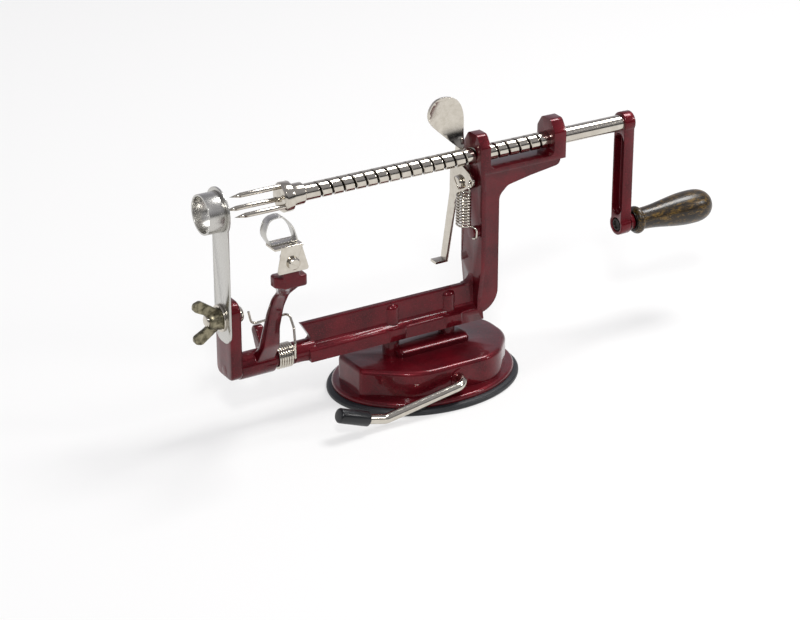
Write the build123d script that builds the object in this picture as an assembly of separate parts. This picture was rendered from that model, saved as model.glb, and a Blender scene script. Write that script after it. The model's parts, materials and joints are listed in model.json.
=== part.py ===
from build123d import *
import math
import os

# Hand-cranked apple peeler, corer and slicer on a rubber suction base.
# Millimetres. X runs along the feed shaft towards the crank, -Y is the working side
# where the peeling blade stands, +Z is up. The origin is the centre of the rubber
# pad's underside, which lies on the table.

os.makedirs("parts", exist_ok=True)

# ---------------------------------------------------------------- clearances
RUN = 0.05          # radial running clearance of a shaft or pin in its hole
SEAT = 0.05         # radial clearance of a screw or a pressed part in its hole
GAP = 0.3           # side clearance between parts that move past each other

# ---------------------------------------------------------------- feed shaft and fork
SHAFT_Z = 117.0         # height of the feed shaft's axis
SHAFT_R = 4.25
THREAD_PITCH = 6.35     # four turns of groove to the inch
GROOVE_DEPTH = 0.8
GROOVE_WIDTH = 1.3
TURNS_LEFT = 14         # turns of groove on each side of the feed tooth
TURNS_RIGHT = 7
SHAFT_LEFT = -80.0
COLLAR_WALL = 1.2
COLLAR_R = SHAFT_R + RUN + COLLAR_WALL
COLLAR_LENGTH = 7.5
COLLAR_INSET = 4.0      # how far the shaft stands out of the collar, into the hub
COLLAR_X = (SHAFT_LEFT + COLLAR_INSET, SHAFT_LEFT + COLLAR_INSET + COLLAR_LENGTH)
HUB_LENGTH = 5.0
PRONG_R = 1.25
PRONG_CIRCLE = SHAFT_R + SEAT + PRONG_R + 0.15      # the prongs stand round the shaft's bore
HUB_R = PRONG_CIRCLE + PRONG_R + 0.55
PRONG_TIP_X = -108.0
PRONG_COUNT = 3

# ---------------------------------------------------------------- crank and handle
CRANK_LEFT = 118.3
CRANK_T = 6.8
CRANK_X = (CRANK_LEFT, CRANK_LEFT + CRANK_T)
CRANK_THROW = 57.0
TENON_STEP = 1.0        # how much thinner the tenon is than the shaft
TENON_R = SHAFT_R - TENON_STEP
TENON_FLAT = TENON_R - 0.65
CRANK_WALL = 2.3        # metal round the tenon's hole
CRANK_END_R = TENON_R + SEAT + CRANK_WALL
CRANK_WIDTH = 2 * CRANK_END_R - 1.8
RECESS_DEPTH = 2.2
RIM = 1.2
SCREW_SINK = 1.8        # depth of the sunk heads in the crank
SINK_R = TENON_R + 0.65
PIN_R = 2.5
PIN_HEAD_R = PIN_R + 1.0
PIN_SINK = 1.3
BOSS_R = PIN_R + 2.1
BOSS_LENGTH = 3.0
HANDLE_LENGTH = 50.6
HANDLE_MAX_R = 9.0
HANDLE_NECK_R = 5.8
HANDLE_BEAD_R = 7.4
PIN_REACH = 34.0        # how deep the pin goes into the handle
WASHER_T = 0.6

# ---------------------------------------------------------------- frame casting
BEAM_BOTTOM = 30.6
BEAM_DEPTH = 17.7
BEAM_TOP = BEAM_BOTTOM + BEAM_DEPTH
BEAM_LEFT = -69.0
BEAM_FLANGE = 6.5       # half width of the beam's foot
FLANGE_T = 5.7
FLANGE_TOP = BEAM_BOTTOM + FLANGE_T
WEB_HALF = 2.1
COLUMN_X = (28.4, 42.6)
COLUMN_HALF = 9.5
COLUMN_PLATE = 2.5
COLUMN_WEB = 3.55
YOKE_WALL = 3.7         # metal beside the shaft's bore
YOKE_CROWN = 7.3        # and above it
YOKE_HALF = SHAFT_R + RUN + YOKE_WALL
YOKE_LEFT = (COLUMN_X[0], COLUMN_X[0] + 5.9)
YOKE_RIGHT = (72.5, 79.5)
YOKE_TOP = SHAFT_Z + SHAFT_R + RUN + YOKE_CROWN
SADDLE_GAP = 2.05       # air under the shaft, between the yokes
SADDLE_T = 2.5
SADDLE_Z = (SHAFT_Z - SHAFT_R - SADDLE_GAP - SADDLE_T, SHAFT_Z - SHAFT_R - SADDLE_GAP)
PILLAR_X = (-19.2, 13.8)
PILLAR_R = 4.2
PILLAR_BULGE_R = 7.1
PEG_Y = -5.5
PEG_Z = SHAFT_Z - 39.0
PEG_R = 3.0
PEG_LEFT = COLUMN_X[0] - 4.0

# ---------------------------------------------------------------- peeling arm and its pivot
ARBOR_Z = BEAM_BOTTOM + 2.7
ARBOR_R = 4.75
SHOULDER_R = 5.5         # the arbor's thick end, next to the beam
SPIGOT_R = 2.6          # and its thin end, in the end plate
PLATE_LEFT = -113.4
PLATE_T = 6.2
PLATE_X = (PLATE_LEFT, PLATE_LEFT + PLATE_T)
PLATE_HALF = 8.5
BOLT_Z = 61.5
PLATE_FOOT = ARBOR_Z - 4.0
PLATE_TOP = BOLT_Z + 9.0
ARM_HUB_LENGTH = 19.4
ARM_HUB_X = (PLATE_X[1] + GAP, PLATE_X[1] + GAP + ARM_HUB_LENGTH)
ARM_HUB_WALL = 1.8
ARM_HUB_R = ARBOR_R + RUN + ARM_HUB_WALL
ARM_X = (-98.2, -91.2)
HEAD_X = (ARM_X[0] - 7.3, ARM_X[1] + 1.7)
HEAD_Y = (-43.2, -34.0)
HEAD_TOP = SHAFT_Z - 21.5       # the blade's hoop starts from the shaft's height
HEAD_T = 5.7
HEAD_Z = (HEAD_TOP - HEAD_T, HEAD_TOP)
CARRIER_SCREW_X = (HEAD_X[0] + HEAD_X[1]) / 2 - 0.5
CARRIER_SCREW_Z = HEAD_TOP + 7.9
CARRIER_SCREW_R = 1.5
CARRIER_TOP = HEAD_TOP + 16.7
LUG_Y = 8.2             # the lug on the arm that the torsion spring pulls on
LUG_Z = ARBOR_Z + 12.5
LUG_R = 3.0
SPRING_X = (ARM_HUB_X[1] + 1.1, ARM_HUB_X[1] + 11.1)
COIL_WIRE = 1.3
COIL_R = ARBOR_R + COIL_WIRE / 2 + 0.25     # mean radius of the torsion coil
COIL_TURNS = 5.75

# ---------------------------------------------------------------- blades and their bolt
BOLT_R = 3.0
BOLT_HEAD_R = BOLT_R + 4.0
BOLT_HEAD_T = 4.0
WASHER_WALL = 3.6
BLADE_WASHER_T = 1.2
SLICER_T = 1.0
SLICER_Y = (-9.7, 6.3)
SLICER_FOOT = BOLT_Z - 12.0
RING_R = 9.0
RING_WALL = 1.0
RING_LENGTH = 11.0
NUT_LENGTH = 6.0
NUT_R = BOLT_R + 2.6
BOLT_TIP = PLATE_LEFT - SLICER_T - BLADE_WASHER_T - NUT_LENGTH - 1.2
WING_REACH = 11.5
CARRIER_T = 1.2
BLADE_T = 0.7
BLADE_Y = (-40.6, -35.4)

# ---------------------------------------------------------------- release lever
LEVER_T = 1.4
LEVER_X = (COLUMN_X[0] - 2.0 - LEVER_T, COLUMN_X[0] - 2.0)
LEVER_PIVOT_Y = SHAFT_R + 2.25
LEVER_PIVOT_Z = SHAFT_Z - 16.0
LEVER_PIN_R = 2.0
TOOTH_X = LEVER_X[0] + 0.69
TOOTH_T = 0.75
SPOON_X = 17.5
SPOON_Z = SHAFT_Z + 19.0
SPOON_DISH = 40.0
RELEASE_SPRING_X = LEVER_X[0] - 4.6
RELEASE_SPRING_Y = -4.8
RELEASE_COIL_Z = (PEG_Z + 4.6, SHAFT_Z - 17.2)
RELEASE_COIL_R = 3.5
RELEASE_WIRE = 1.0
RELEASE_TURNS = 11
EAR_Y = -3.6
EAR_Z = SHAFT_Z - 12.6

# ---------------------------------------------------------------- suction base
PAD_RX = 52.2
PAD_RY = 40.2
PAD_T = 3.5
PAD_CENTRE_T = 2.8
BRIM_INSET = 2.7
BRIM_T = 2.6
DRUM_LEFT = -43.6
DRUM_FLAT = 11.0
DRUM_FRONT = 30.0
DRUM_RIGHT = 44.5
DRUM_TOP = 20.0
DRUM_WALL = 3.0
ROOF_T = 3.5
SADDLE_HALF = 9.8
SADDLE_TOP = 24.0
SADDLE_X = (-19.6, 22.5)
POST_R = 6.6
STEM_X = 2.2
SCREW_R = 2.0
SCREW_HEAD_R = 3.75
SCREW_HEAD_T = 2.4
LIFTER_X = 3.0          # the suction lever's spindle
LIFTER_Z = 12.3
LIFTER_R = 2.5
LIFTER_PLANE = -37.0
LIFT = 2.5
LIFT_ANGLE = 150.0
CRANK_PIN_R = 1.5
CAM_R = 3.8
PRESSER_R = 22.0
PRESSER_T = 1.5


# ================================================================ helpers
def bar_x(x0, x1, radius, y=0.0, z=0.0):
    """A round bar along X."""
    return Pos(x0, y, z) * extrude(Plane.YZ * Circle(radius), amount=x1 - x0)


def bar_y(y0, y1, radius, x=0.0, z=0.0):
    """A round bar along Y."""
    return Pos(x, y1, z) * extrude(Plane.XZ * Circle(radius), amount=y1 - y0)


def bar_z(z0, z1, radius, x=0.0, y=0.0):
    """A round bar along Z."""
    return Pos(x, y, z0) * extrude(Circle(radius), amount=z1 - z0)


def block(x, y, z):
    """A box from three (low, high) pairs."""
    size = (x[1] - x[0], y[1] - y[0], z[1] - z[0])
    return Pos((x[0] + x[1]) / 2, (y[0] + y[1]) / 2, (z[0] + z[1]) / 2) * Box(*size)


def slab_x(sketch, x0, x1):
    """A plate square to X, drawn in (Y, Z)."""
    return Pos(x0, 0, 0) * extrude(Plane.YZ * sketch, amount=x1 - x0, dir=(1, 0, 0))


def slab_y(sketch, y0, y1):
    """A plate square to Y, drawn in (X, Z)."""
    return Pos(0, y1, 0) * extrude(Plane.XZ * sketch, amount=y1 - y0, dir=(0, -1, 0))


def rounded(points, radii):
    """A closed outline with some of its corners rounded.

    radii maps the number of a point to the radius of its corner.
    """
    outline = Polygon(*points, align=None)
    for number, radius in radii.items():
        x, y = points[number]
        corner = outline.vertices().sort_by_distance((x, y, 0))[0]
        outline = fillet(corner, radius)
    return outline


def mirrored(points):
    """The points of half an outline, and then its mirror image in the first axis."""
    return points + [(-a, b) for a, b in reversed(points)]


def wire_rod(points, radius, bend, section=None):
    """A wire along straight runs joined by arcs, round unless another section is given."""
    path = FilletPolyline(*points, radius=bend)
    start = Plane(origin=path @ 0, z_dir=path % 0)
    return sweep(start * (section or Circle(radius)), path=path)


def spring_section(radius):
    """A six-sided section with a round wire's area, which keeps a coil's faces few."""
    return RegularPolygon(radius * math.sqrt(math.pi / (1.5 * math.sqrt(3))), 6)


def coil_spring(mean_radius, wire_radius, turns, height):
    """A coil along +Z from the plane Z = 0, and the helix that it follows."""
    helix = Helix(pitch=height / turns, height=height, radius=mean_radius)
    section = Plane(origin=helix @ 0, z_dir=helix % 0) * spring_section(wire_radius)
    return sweep(section, path=helix, is_frenet=True), helix


# ================================================================ frame
def column_outline():
    """The upright's flange in (Y, Z): narrow foot, wide middle, clipped head."""
    half = [
        (BEAM_FLANGE, BEAM_BOTTOM),
        (BEAM_FLANGE, BEAM_BOTTOM + 10.4),
        (COLUMN_HALF, BEAM_BOTTOM + 27.4),
        (COLUMN_HALF, SADDLE_Z[0] - 8.2),
        (YOKE_HALF, SADDLE_Z[1]),
    ]
    points = mirrored(half)
    return rounded(points, {1: 10, 2: 14, 3: 5, 6: 5, 7: 14, 8: 10})


def head_outline():
    """The clipped, half-octagon head of a yoke in (Y, Z)."""
    half = [
        (YOKE_HALF, SADDLE_Z[0]),
        (YOKE_HALF, YOKE_TOP - 6.0),
        (YOKE_HALF - 4.1, YOKE_TOP),
    ]
    return rounded(mirrored(half), {1: 3, 2: 3, 3: 3, 4: 3})


def trough_outline():
    """The two yokes and the saddle between them in (X, Z)."""
    points = [
        (YOKE_LEFT[0], SADDLE_Z[0]),
        (YOKE_RIGHT[1], SADDLE_Z[0]),
        (YOKE_RIGHT[1], YOKE_TOP),
        (YOKE_RIGHT[0], YOKE_TOP),
        (YOKE_RIGHT[0], SADDLE_Z[1]),
        (YOKE_LEFT[1], SADDLE_Z[1]),
        (YOKE_LEFT[1], YOKE_TOP),
        (YOKE_LEFT[0], YOKE_TOP),
    ]
    return rounded(points, {4: 3, 5: 3})


def web_outline():
    """The web behind the upright and under the saddle in (X, Z)."""
    points = [
        (COLUMN_X[0] + 1, BEAM_BOTTOM),
        (COLUMN_X[1], BEAM_BOTTOM),
        (COLUMN_X[1], SADDLE_Z[0] - 14.7),
        (COLUMN_X[1] + 5, SADDLE_Z[0] - 10.0),
        (YOKE_RIGHT[0] - 11.5, SADDLE_Z[0] - 7.4),
        (YOKE_RIGHT[1] - 0.2, SADDLE_Z[0] - 4.8),
        (YOKE_RIGHT[1] - 0.2, SADDLE_Z[1] - 1),
        (COLUMN_X[0] + 1, SADDLE_Z[1] - 1),
    ]
    return rounded(points, {1: 12, 2: 6, 3: 5, 5: 3})


def beam_outline():
    """The beam's section in (Y, Z): a thin web on a broad foot."""
    half = [
        (BEAM_FLANGE, BEAM_BOTTOM),
        (BEAM_FLANGE, FLANGE_TOP - 1.4),
        (WEB_HALF + 0.2, FLANGE_TOP + 0.9),
        (WEB_HALF - 0.3, BEAM_TOP),
    ]
    return rounded(mirrored(half), {1: 1.2, 2: 2.2, 3: 0.9, 4: 0.9, 5: 2.2, 6: 1.2})


def pillars():
    """Round pillars on the beam that take the screws from the base."""
    shapes = []
    for x in PILLAR_X:
        post = bar_z(BEAM_BOTTOM, BEAM_TOP - 1.0, PILLAR_R, x=x)
        post = fillet(post.edges().group_by(Axis.Z)[-1], 3.0)
        shapes.append(post)
        for side in (-2.0, 2.0):
            shapes.append(bar_z(BEAM_BOTTOM, FLANGE_TOP - 0.9, PILLAR_BULGE_R, x=x, y=side))
    return shapes


def beam_end():
    """What is cut off the beam's left end: the web leans out over the foot's square end."""
    points = [
        (BEAM_LEFT - 10, BEAM_TOP + 5),
        (BEAM_LEFT - 2.9, BEAM_TOP + 1.0),
        (BEAM_LEFT + 3.4, FLANGE_TOP + 3.0),
        (BEAM_LEFT, FLANGE_TOP + 1.2),
        (BEAM_LEFT, BEAM_BOTTOM - 5),
        (BEAM_LEFT - 10, BEAM_BOTTOM - 5),
    ]
    return slab_y(rounded(points, {2: 1.2}), -BEAM_FLANGE - 1, BEAM_FLANGE + 1)


def frame_casting():
    body = slab_x(beam_outline(), BEAM_LEFT - 2.4, COLUMN_X[0] + 1) - beam_end()
    for extra in pillars():
        body += extra
    body += slab_x(column_outline(), COLUMN_X[0], COLUMN_X[0] + COLUMN_PLATE)
    body += slab_y(web_outline(), -COLUMN_WEB, COLUMN_WEB)
    # the foot's flange runs on under the upright, inside the web's rounded corner
    foot = block((COLUMN_X[0] - 2, COLUMN_X[1]), (-BEAM_FLANGE, BEAM_FLANGE), (BEAM_BOTTOM, FLANGE_TOP - 1.4))
    corner = slab_y(web_outline(), -BEAM_FLANGE, BEAM_FLANGE)
    body += foot & corner
    # concave fillet where the beam's web meets the upright
    root_r = 5.0
    root = block((COLUMN_X[0] - root_r, COLUMN_X[0] + 1), (-WEB_HALF, WEB_HALF), (BEAM_TOP - 1, BEAM_TOP + root_r))
    root -= bar_y(-WEB_HALF - 1, WEB_HALF + 1, root_r, x=COLUMN_X[0] - root_r, z=BEAM_TOP + root_r)
    body += root
    # saddle and yokes
    head = slab_x(head_outline(), YOKE_LEFT[0] - 1, YOKE_RIGHT[1] + 1)
    body += slab_y(trough_outline(), -YOKE_HALF - 1, YOKE_HALF + 1) & head
    # arbor for the peeling arm, spring peg and lever boss
    body += bar_x(PLATE_X[0], PLATE_X[1] + 1, SPIGOT_R, z=ARBOR_Z)
    body += bar_x(PLATE_X[1], BEAM_LEFT + 4, ARBOR_R, z=ARBOR_Z)
    body += bar_x(SPRING_X[1] + GAP, BEAM_LEFT + 4, SHOULDER_R, z=ARBOR_Z)
    body += bar_x(PEG_LEFT, COLUMN_X[0] + 1, PEG_R, y=PEG_Y, z=PEG_Z)
    body += bar_x(LEVER_X[1] + 0.1, COLUMN_X[0] + 1, 4.0, y=LEVER_PIVOT_Y, z=LEVER_PIVOT_Z)
    # bores
    body -= bar_x(YOKE_LEFT[0] - 1, YOKE_RIGHT[1] + 1, SHAFT_R + RUN, z=SHAFT_Z)
    body -= bar_x(LEVER_X[1], YOKE_LEFT[1] - 1, LEVER_PIN_R + SEAT, y=LEVER_PIVOT_Y, z=LEVER_PIVOT_Z)
    for x in PILLAR_X:
        body -= bar_z(BEAM_BOTTOM - 1, BEAM_TOP - 6, SCREW_R + SEAT, x=x)
    return body


def end_plate():
    """The upright plate pressed on the arbor's end; it carries both fixed blades."""
    corners = [
        (-PLATE_HALF, PLATE_FOOT),
        (PLATE_HALF, PLATE_FOOT),
        (PLATE_HALF, PLATE_TOP),
        (-PLATE_HALF, PLATE_TOP),
    ]
    plate = rounded(corners, {0: 3, 1: 3, 2: 5.5, 3: 5.5})
    body = slab_x(plate, *PLATE_X)
    body = chamfer(body.edges().group_by(Axis.X)[0], 0.6)
    body -= bar_x(PLATE_X[0] - 1, PLATE_X[1] + 1, SPIGOT_R + SEAT, z=ARBOR_Z)
    body -= bar_x(PLATE_X[0] - 1, PLATE_X[1] + 1, BOLT_R + SEAT, z=BOLT_Z)
    return body


# ================================================================ blades on the end plate
SLICER_X = (PLATE_X[0] - SLICER_T, PLATE_X[0])


def slicer_blade():
    """A flat strip from the bolt up to the coring ring, ground along its front edge."""
    left, right = SLICER_Y
    top = SHAFT_Z
    points = [(left, SLICER_FOOT), (right, SLICER_FOOT), (right, top), (left, top)]
    strip = rounded(points, {0: 6.5, 1: 6.5})
    strip += Pos(0, SHAFT_Z) * Circle(RING_R + 3.0)
    body = slab_x(strip, *SLICER_X)
    bevel = rounded([(SLICER_X[0] - 0.1, left - 3), (SLICER_X[1] - 0.3, left - 3), (SLICER_X[0] - 0.1, left + 2.4)], {})
    edge = Pos(0, 0, SLICER_FOOT + 9) * extrude(bevel, amount=SHAFT_Z - SLICER_FOOT - 21)
    body -= edge
    body -= bar_x(SLICER_X[0] - 1, SLICER_X[1] + 1, RING_R + RING_WALL + SEAT, z=SHAFT_Z)
    body -= bar_x(SLICER_X[0] - 1, SLICER_X[1] + 1, BOLT_R + SEAT, z=BOLT_Z)
    return body


def coring_ring():
    """A thin tube that cuts out the core, sharpened on the side that meets the fruit."""
    x_edge = SLICER_X[1] + 1.2
    tube = bar_x(x_edge - RING_LENGTH, x_edge, RING_R + RING_WALL, z=SHAFT_Z)
    tube -= bar_x(x_edge - RING_LENGTH - 1, x_edge + 1, RING_R, z=SHAFT_Z)
    rim = tube.edges().group_by(Axis.X)[-1].sort_by(SortBy.RADIUS)[-1]
    return chamfer(rim, RING_WALL - 0.2)


def blade_bolt():
    """The carriage bolt that clamps the slicing blade; its dome faces the fruit."""
    x1 = PLATE_X[1]
    shank = bar_x(BOLT_TIP, x1 + 1, BOLT_R)
    shank = chamfer(shank.edges().group_by(Axis.X)[0], 0.5)
    head = bar_x(x1, x1 + BOLT_HEAD_T, BOLT_HEAD_R)
    head = fillet(head.edges().group_by(Axis.X)[-1], BOLT_HEAD_T - 0.8)
    return Pos(0, 0, BOLT_Z) * (shank + head)


def blade_washer():
    x1 = SLICER_X[0]
    ring = bar_x(x1 - BLADE_WASHER_T, x1, BOLT_R + 0.2 + WASHER_WALL, z=BOLT_Z)
    return ring - bar_x(x1 - 2, x1 + 1, BOLT_R + 0.2, z=BOLT_Z)


def wing_nut():
    """A cast wing nut, its wings up and down."""
    x1 = SLICER_X[0] - BLADE_WASHER_T - RUN
    x0 = x1 - NUT_LENGTH
    hub = [(x0, 0), (x0, NUT_R - 1.6), (x0 + 1, NUT_R - 1.0), (x1, NUT_R), (x1, 0)]
    body = revolve(make_face(Polyline(*hub, close=True)), Axis.X)
    for side in (-1, 1):
        wing = [
            (x1 - 0.4, side * 2.5),
            (x1 - 0.4, side * 5.0),
            (x0 + 0.5, side * 8.6),
            (x0 - 3.6, side * WING_REACH),
            (x0 - 7.4, side * (WING_REACH - 1.2)),
            (x0 - 7.6, side * (WING_REACH - 4.6)),
            (x0 - 1.0, side * 3.4),
            (x0 + 0.6, side * 1.0),
        ]
        body += slab_y(rounded(wing, {2: 4, 3: 2.6, 4: 2, 5: 2, 6: 3}), -1.15, 1.15)
    body -= bar_x(x0 - 1, x1 + 1, BOLT_R + RUN)
    return Pos(0, 0, BOLT_Z) * body


# ================================================================ peeling arm
def peeler_arm():
    """The cast arm that swings the peeling blade against the fruit."""
    hub = bar_x(ARM_HUB_X[0], ARM_HUB_X[1], ARM_HUB_R, z=ARBOR_Z)
    # the arm seen along X: steep and deep at the hub, then leaning out to its head
    front = [
        (-4.0, ARBOR_Z),
        (HEAD_Y[0] + 29.4, ARBOR_Z + 13.7),
        (HEAD_Y[0] + 21.2, HEAD_Z[0] - 19.2),
        (HEAD_Y[0] + 15.8, HEAD_Z[0] - 10.8),
        (HEAD_Y[0] + 3.2, HEAD_Z[0] + 0.4),
        (HEAD_Y[0] + 2.4, HEAD_Z[0] + 2),
    ]
    back = [
        (HEAD_Y[1] - 0.4, HEAD_Z[0] + 2),
        (HEAD_Y[1] + 0.4, HEAD_Z[0] - 0.4),
        (HEAD_Y[1] + 12.6, HEAD_Z[0] - 13.2),
        (HEAD_Y[1] + 18.0, HEAD_Z[0] - 22.8),
        (-7.0, ARBOR_Z + 11.7),
        (3.0, ARBOR_Z),
    ]
    ribbon = rounded(front + back, {1: 12, 2: 22, 3: 16, 4: 2.5, 7: 2.5, 8: 12, 9: 20, 10: 14})
    # and seen along Y: parallel sides, a splayed foot on the spring's side, a flare under the head
    splay = [
        (ARM_X[0], ARBOR_Z),
        (ARM_X[0], HEAD_Z[0] - 7.8),
        (HEAD_X[0] + 1.5, HEAD_Z[0] + 1),
        (HEAD_X[1], HEAD_Z[0] + 1),
        (ARM_X[1], HEAD_Z[0] - 8.8),
        (ARM_X[1], ARBOR_Z + 24.7),
        (ARM_HUB_X[1] - 1.5, ARBOR_Z + 10.7),
        (ARM_HUB_X[1] - 1.5, ARBOR_Z),
    ]
    splay = rounded(splay, {1: 7, 4: 8, 5: 20, 6: 6})
    arm = slab_x(ribbon, HEAD_X[0], ARM_HUB_X[1]) & slab_y(splay, -60, 20)
    # head that the blade carrier is screwed to
    head_points = [
        (HEAD_X[0] + 4, HEAD_Y[0]),
        (HEAD_X[1], HEAD_Y[0]),
        (HEAD_X[1], HEAD_Y[1]),
        (HEAD_X[0], HEAD_Y[1]),
        (HEAD_X[0], HEAD_Y[0] + 4),
    ]
    head = Pos(0, 0, HEAD_Z[0]) * extrude(rounded(head_points, {1: 2, 2: 2, 3: 2}), amount=HEAD_Z[1] - HEAD_Z[0])
    left, right = CARRIER_SCREW_X - 4.2, CARRIER_SCREW_X + 4.2
    top = HEAD_TOP + 12.9
    upstand = rounded([(left, HEAD_TOP - 1.5), (right, HEAD_TOP - 1.5), (right, top), (left, top)], {2: 3.5, 3: 3.5})
    post = slab_y(upstand, HEAD_Y[0], HEAD_Y[0] + 5)
    # lug that the torsion spring pulls on
    tip = Pos(LUG_Y, LUG_Z) * Circle(LUG_R)
    root = Pos(2.6, ARBOR_Z + 3.0) * Circle(3.4)
    lug = slab_x(make_hull([*tip.edges(), *root.edges()]), ARM_HUB_X[1] - 5.0, ARM_HUB_X[1] - 0.4)
    body = hub + arm + head + post + lug
    body -= bar_x(ARM_HUB_X[0] - 1, ARM_HUB_X[1] + 1, ARBOR_R + RUN, z=ARBOR_Z)
    body -= bar_y(HEAD_Y[0] - 1, HEAD_Y[0] + 6, CARRIER_SCREW_R + SEAT, x=CARRIER_SCREW_X, z=CARRIER_SCREW_Z)
    return body


def arm_spring():
    """The torsion spring round the arbor: a close coil and two legs."""
    radius = COIL_WIRE / 2
    length = SPRING_X[1] - SPRING_X[0] - COIL_WIRE
    coil, _ = coil_spring(COIL_R, radius, COIL_TURNS, length)
    coil = Pos(SPRING_X[0] + radius, 0, ARBOR_Z) * Rotation(90, 0, 0) * (Plane.YZ.location * coil)
    # the coil ends at the back, rising; the leg arches over to the arm's lug
    x1 = SPRING_X[1] - radius
    top = LUG_Z + LUG_R + radius + 0.1
    leg = wire_rod(
        [
            (x1, COIL_R, ARBOR_Z - 0.2),
            (x1, COIL_R, ARBOR_Z + 4.0),
            (x1 + 5.6, COIL_R + 0.4, top - 4.5),
            (x1 + 1.0, COIL_R + 1.0, top + 2.4),
            (ARM_HUB_X[1] - 5.6, LUG_Y, top),
        ],
        radius,
        [2.4, 3.2, 3.0],
        spring_section(radius),
    )
    return coil + leg


def blade_carrier():
    """A bent plate on the arm's head; its top shelf carries the peeling blade."""
    y0 = HEAD_Y[0] - CARRIER_T
    x, foot = CARRIER_SCREW_X, HEAD_TOP + 3.1
    face = [(x - 8.2, foot), (x + 8.6, foot), (x + 4.6, CARRIER_TOP), (x - 5.4, CARRIER_TOP)]
    plate = slab_y(rounded(face, {0: 1.2, 1: 1.2}), y0, HEAD_Y[0])
    shelf = block((x - 9.6, x + 5.6), (y0, BLADE_Y[1]), (CARRIER_TOP - CARRIER_T, CARRIER_TOP))
    body = plate + shelf
    body -= bar_y(y0 - 1, HEAD_Y[0] + 1, CARRIER_SCREW_R + SEAT, x=x, z=CARRIER_SCREW_Z)
    return body


def peeling_blade():
    """A hoop of spring steel; the skin passes through it as it is cut."""
    x, foot = CARRIER_SCREW_X, CARRIER_TOP
    outer = [
        (x - 9.4, foot),
        (x - 13.0, foot + 6.0),
        (x - 10.4, foot + 13.4),
        (x - 3.4, foot + 14.4),
        (x + 2.6, foot + 8.2),
        (x + 5.0, foot),
    ]
    outline = rounded(outer, {0: 1.0, 1: 6, 2: 4.5, 3: 5, 4: 14, 5: 1.0})
    band = outline - offset(outline, amount=-BLADE_T)
    return slab_y(band, *BLADE_Y)


def carrier_screw():
    y0 = HEAD_Y[0] - CARRIER_T
    head = bar_y(y0 - 2.0, y0, 2 * CARRIER_SCREW_R)
    head = chamfer(head.edges().group_by(Axis.Y)[0], 0.7)
    body = head + bar_y(y0, HEAD_Y[0] + 4.4, CARRIER_SCREW_R)
    return Pos(CARRIER_SCREW_X, 0, CARRIER_SCREW_Z) * body


# ================================================================ feed shaft, fork and crank
def feed_shaft():
    """The long screw that feeds the fruit; its end tenon drives the crank."""
    body = bar_x(SHAFT_LEFT, CRANK_X[0], SHAFT_R, z=SHAFT_Z)
    tenon = bar_x(CRANK_X[0] - 1, CRANK_X[1] - SCREW_SINK, TENON_R, z=SHAFT_Z)
    tenon &= block((CRANK_X[0] - 2, CRANK_X[1]), (-TENON_FLAT, TENON_FLAT), (SHAFT_Z - 5, SHAFT_Z + 5))
    body += tenon
    body -= bar_x(CRANK_X[1] - 9, CRANK_X[1] + 1, 2.0 + SEAT, z=SHAFT_Z)
    # right-hand groove that starts so that the feed tooth stands in it at rest
    height = THREAD_PITCH * (TURNS_LEFT + TURNS_RIGHT)
    helix = Helix(pitch=THREAD_PITCH, height=height, radius=SHAFT_R - GROOVE_DEPTH)
    cutter_t = GROOVE_DEPTH + 0.5
    section = Plane(origin=helix @ 0, x_dir=(1, 0, 0), z_dir=helix % 0) * Pos(cutter_t / 2, 0) * Rectangle(
        cutter_t, GROOVE_WIDTH
    )
    cutter = sweep(section, path=helix, is_frenet=True)
    start = TOOTH_X - TURNS_LEFT * THREAD_PITCH
    return body - Pos(start, 0, SHAFT_Z) * (Plane.YZ.location * cutter)


def fork_collar():
    """The round collar behind the fork."""
    x0, x1 = COLLAR_X
    body = bar_x(x0, x1, COLLAR_R, z=SHAFT_Z)
    body = chamfer(body.edges().group_by(Axis.X)[-1], 0.8)
    return body - bar_x(x0 - 1, x1 + 1, SHAFT_R + RUN, z=SHAFT_Z)


def prong_places():
    step = 360.0 / PRONG_COUNT
    for number in range(PRONG_COUNT):
        angle = math.radians(90 + step * number)
        yield PRONG_CIRCLE * math.cos(angle), SHAFT_Z + PRONG_CIRCLE * math.sin(angle)


HUB_X = (COLLAR_X[0] - 0.05 - HUB_LENGTH, COLLAR_X[0] - 0.05)


def fork_hub():
    x0, x1 = HUB_X
    body = bar_x(x0, x1, HUB_R, z=SHAFT_Z)
    body = chamfer(body.edges().group_by(Axis.X)[0], 1.0)
    body -= bar_x(SHAFT_LEFT - RUN, x1 + 1, SHAFT_R + SEAT, z=SHAFT_Z)
    for y, z in prong_places():
        body -= bar_x(x0 - 1, x1 - 1.5, PRONG_R, y=y, z=z)
    return body


def fork_prongs():
    """Three pointed pins that hold the fruit."""
    shapes = []
    for y, z in prong_places():
        pin = [
            (HUB_X[1] - 1.5, 0),
            (HUB_X[1] - 1.5, PRONG_R),
            (PRONG_TIP_X + 6, PRONG_R),
            (PRONG_TIP_X, 0),
        ]
        body = revolve(make_face(Polyline(*pin, close=True)), Axis.X)
        shapes.append(Pos(0, y, z) * body)
    return Compound(children=shapes)


HANDLE_Z = SHAFT_Z - CRANK_THROW


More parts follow.
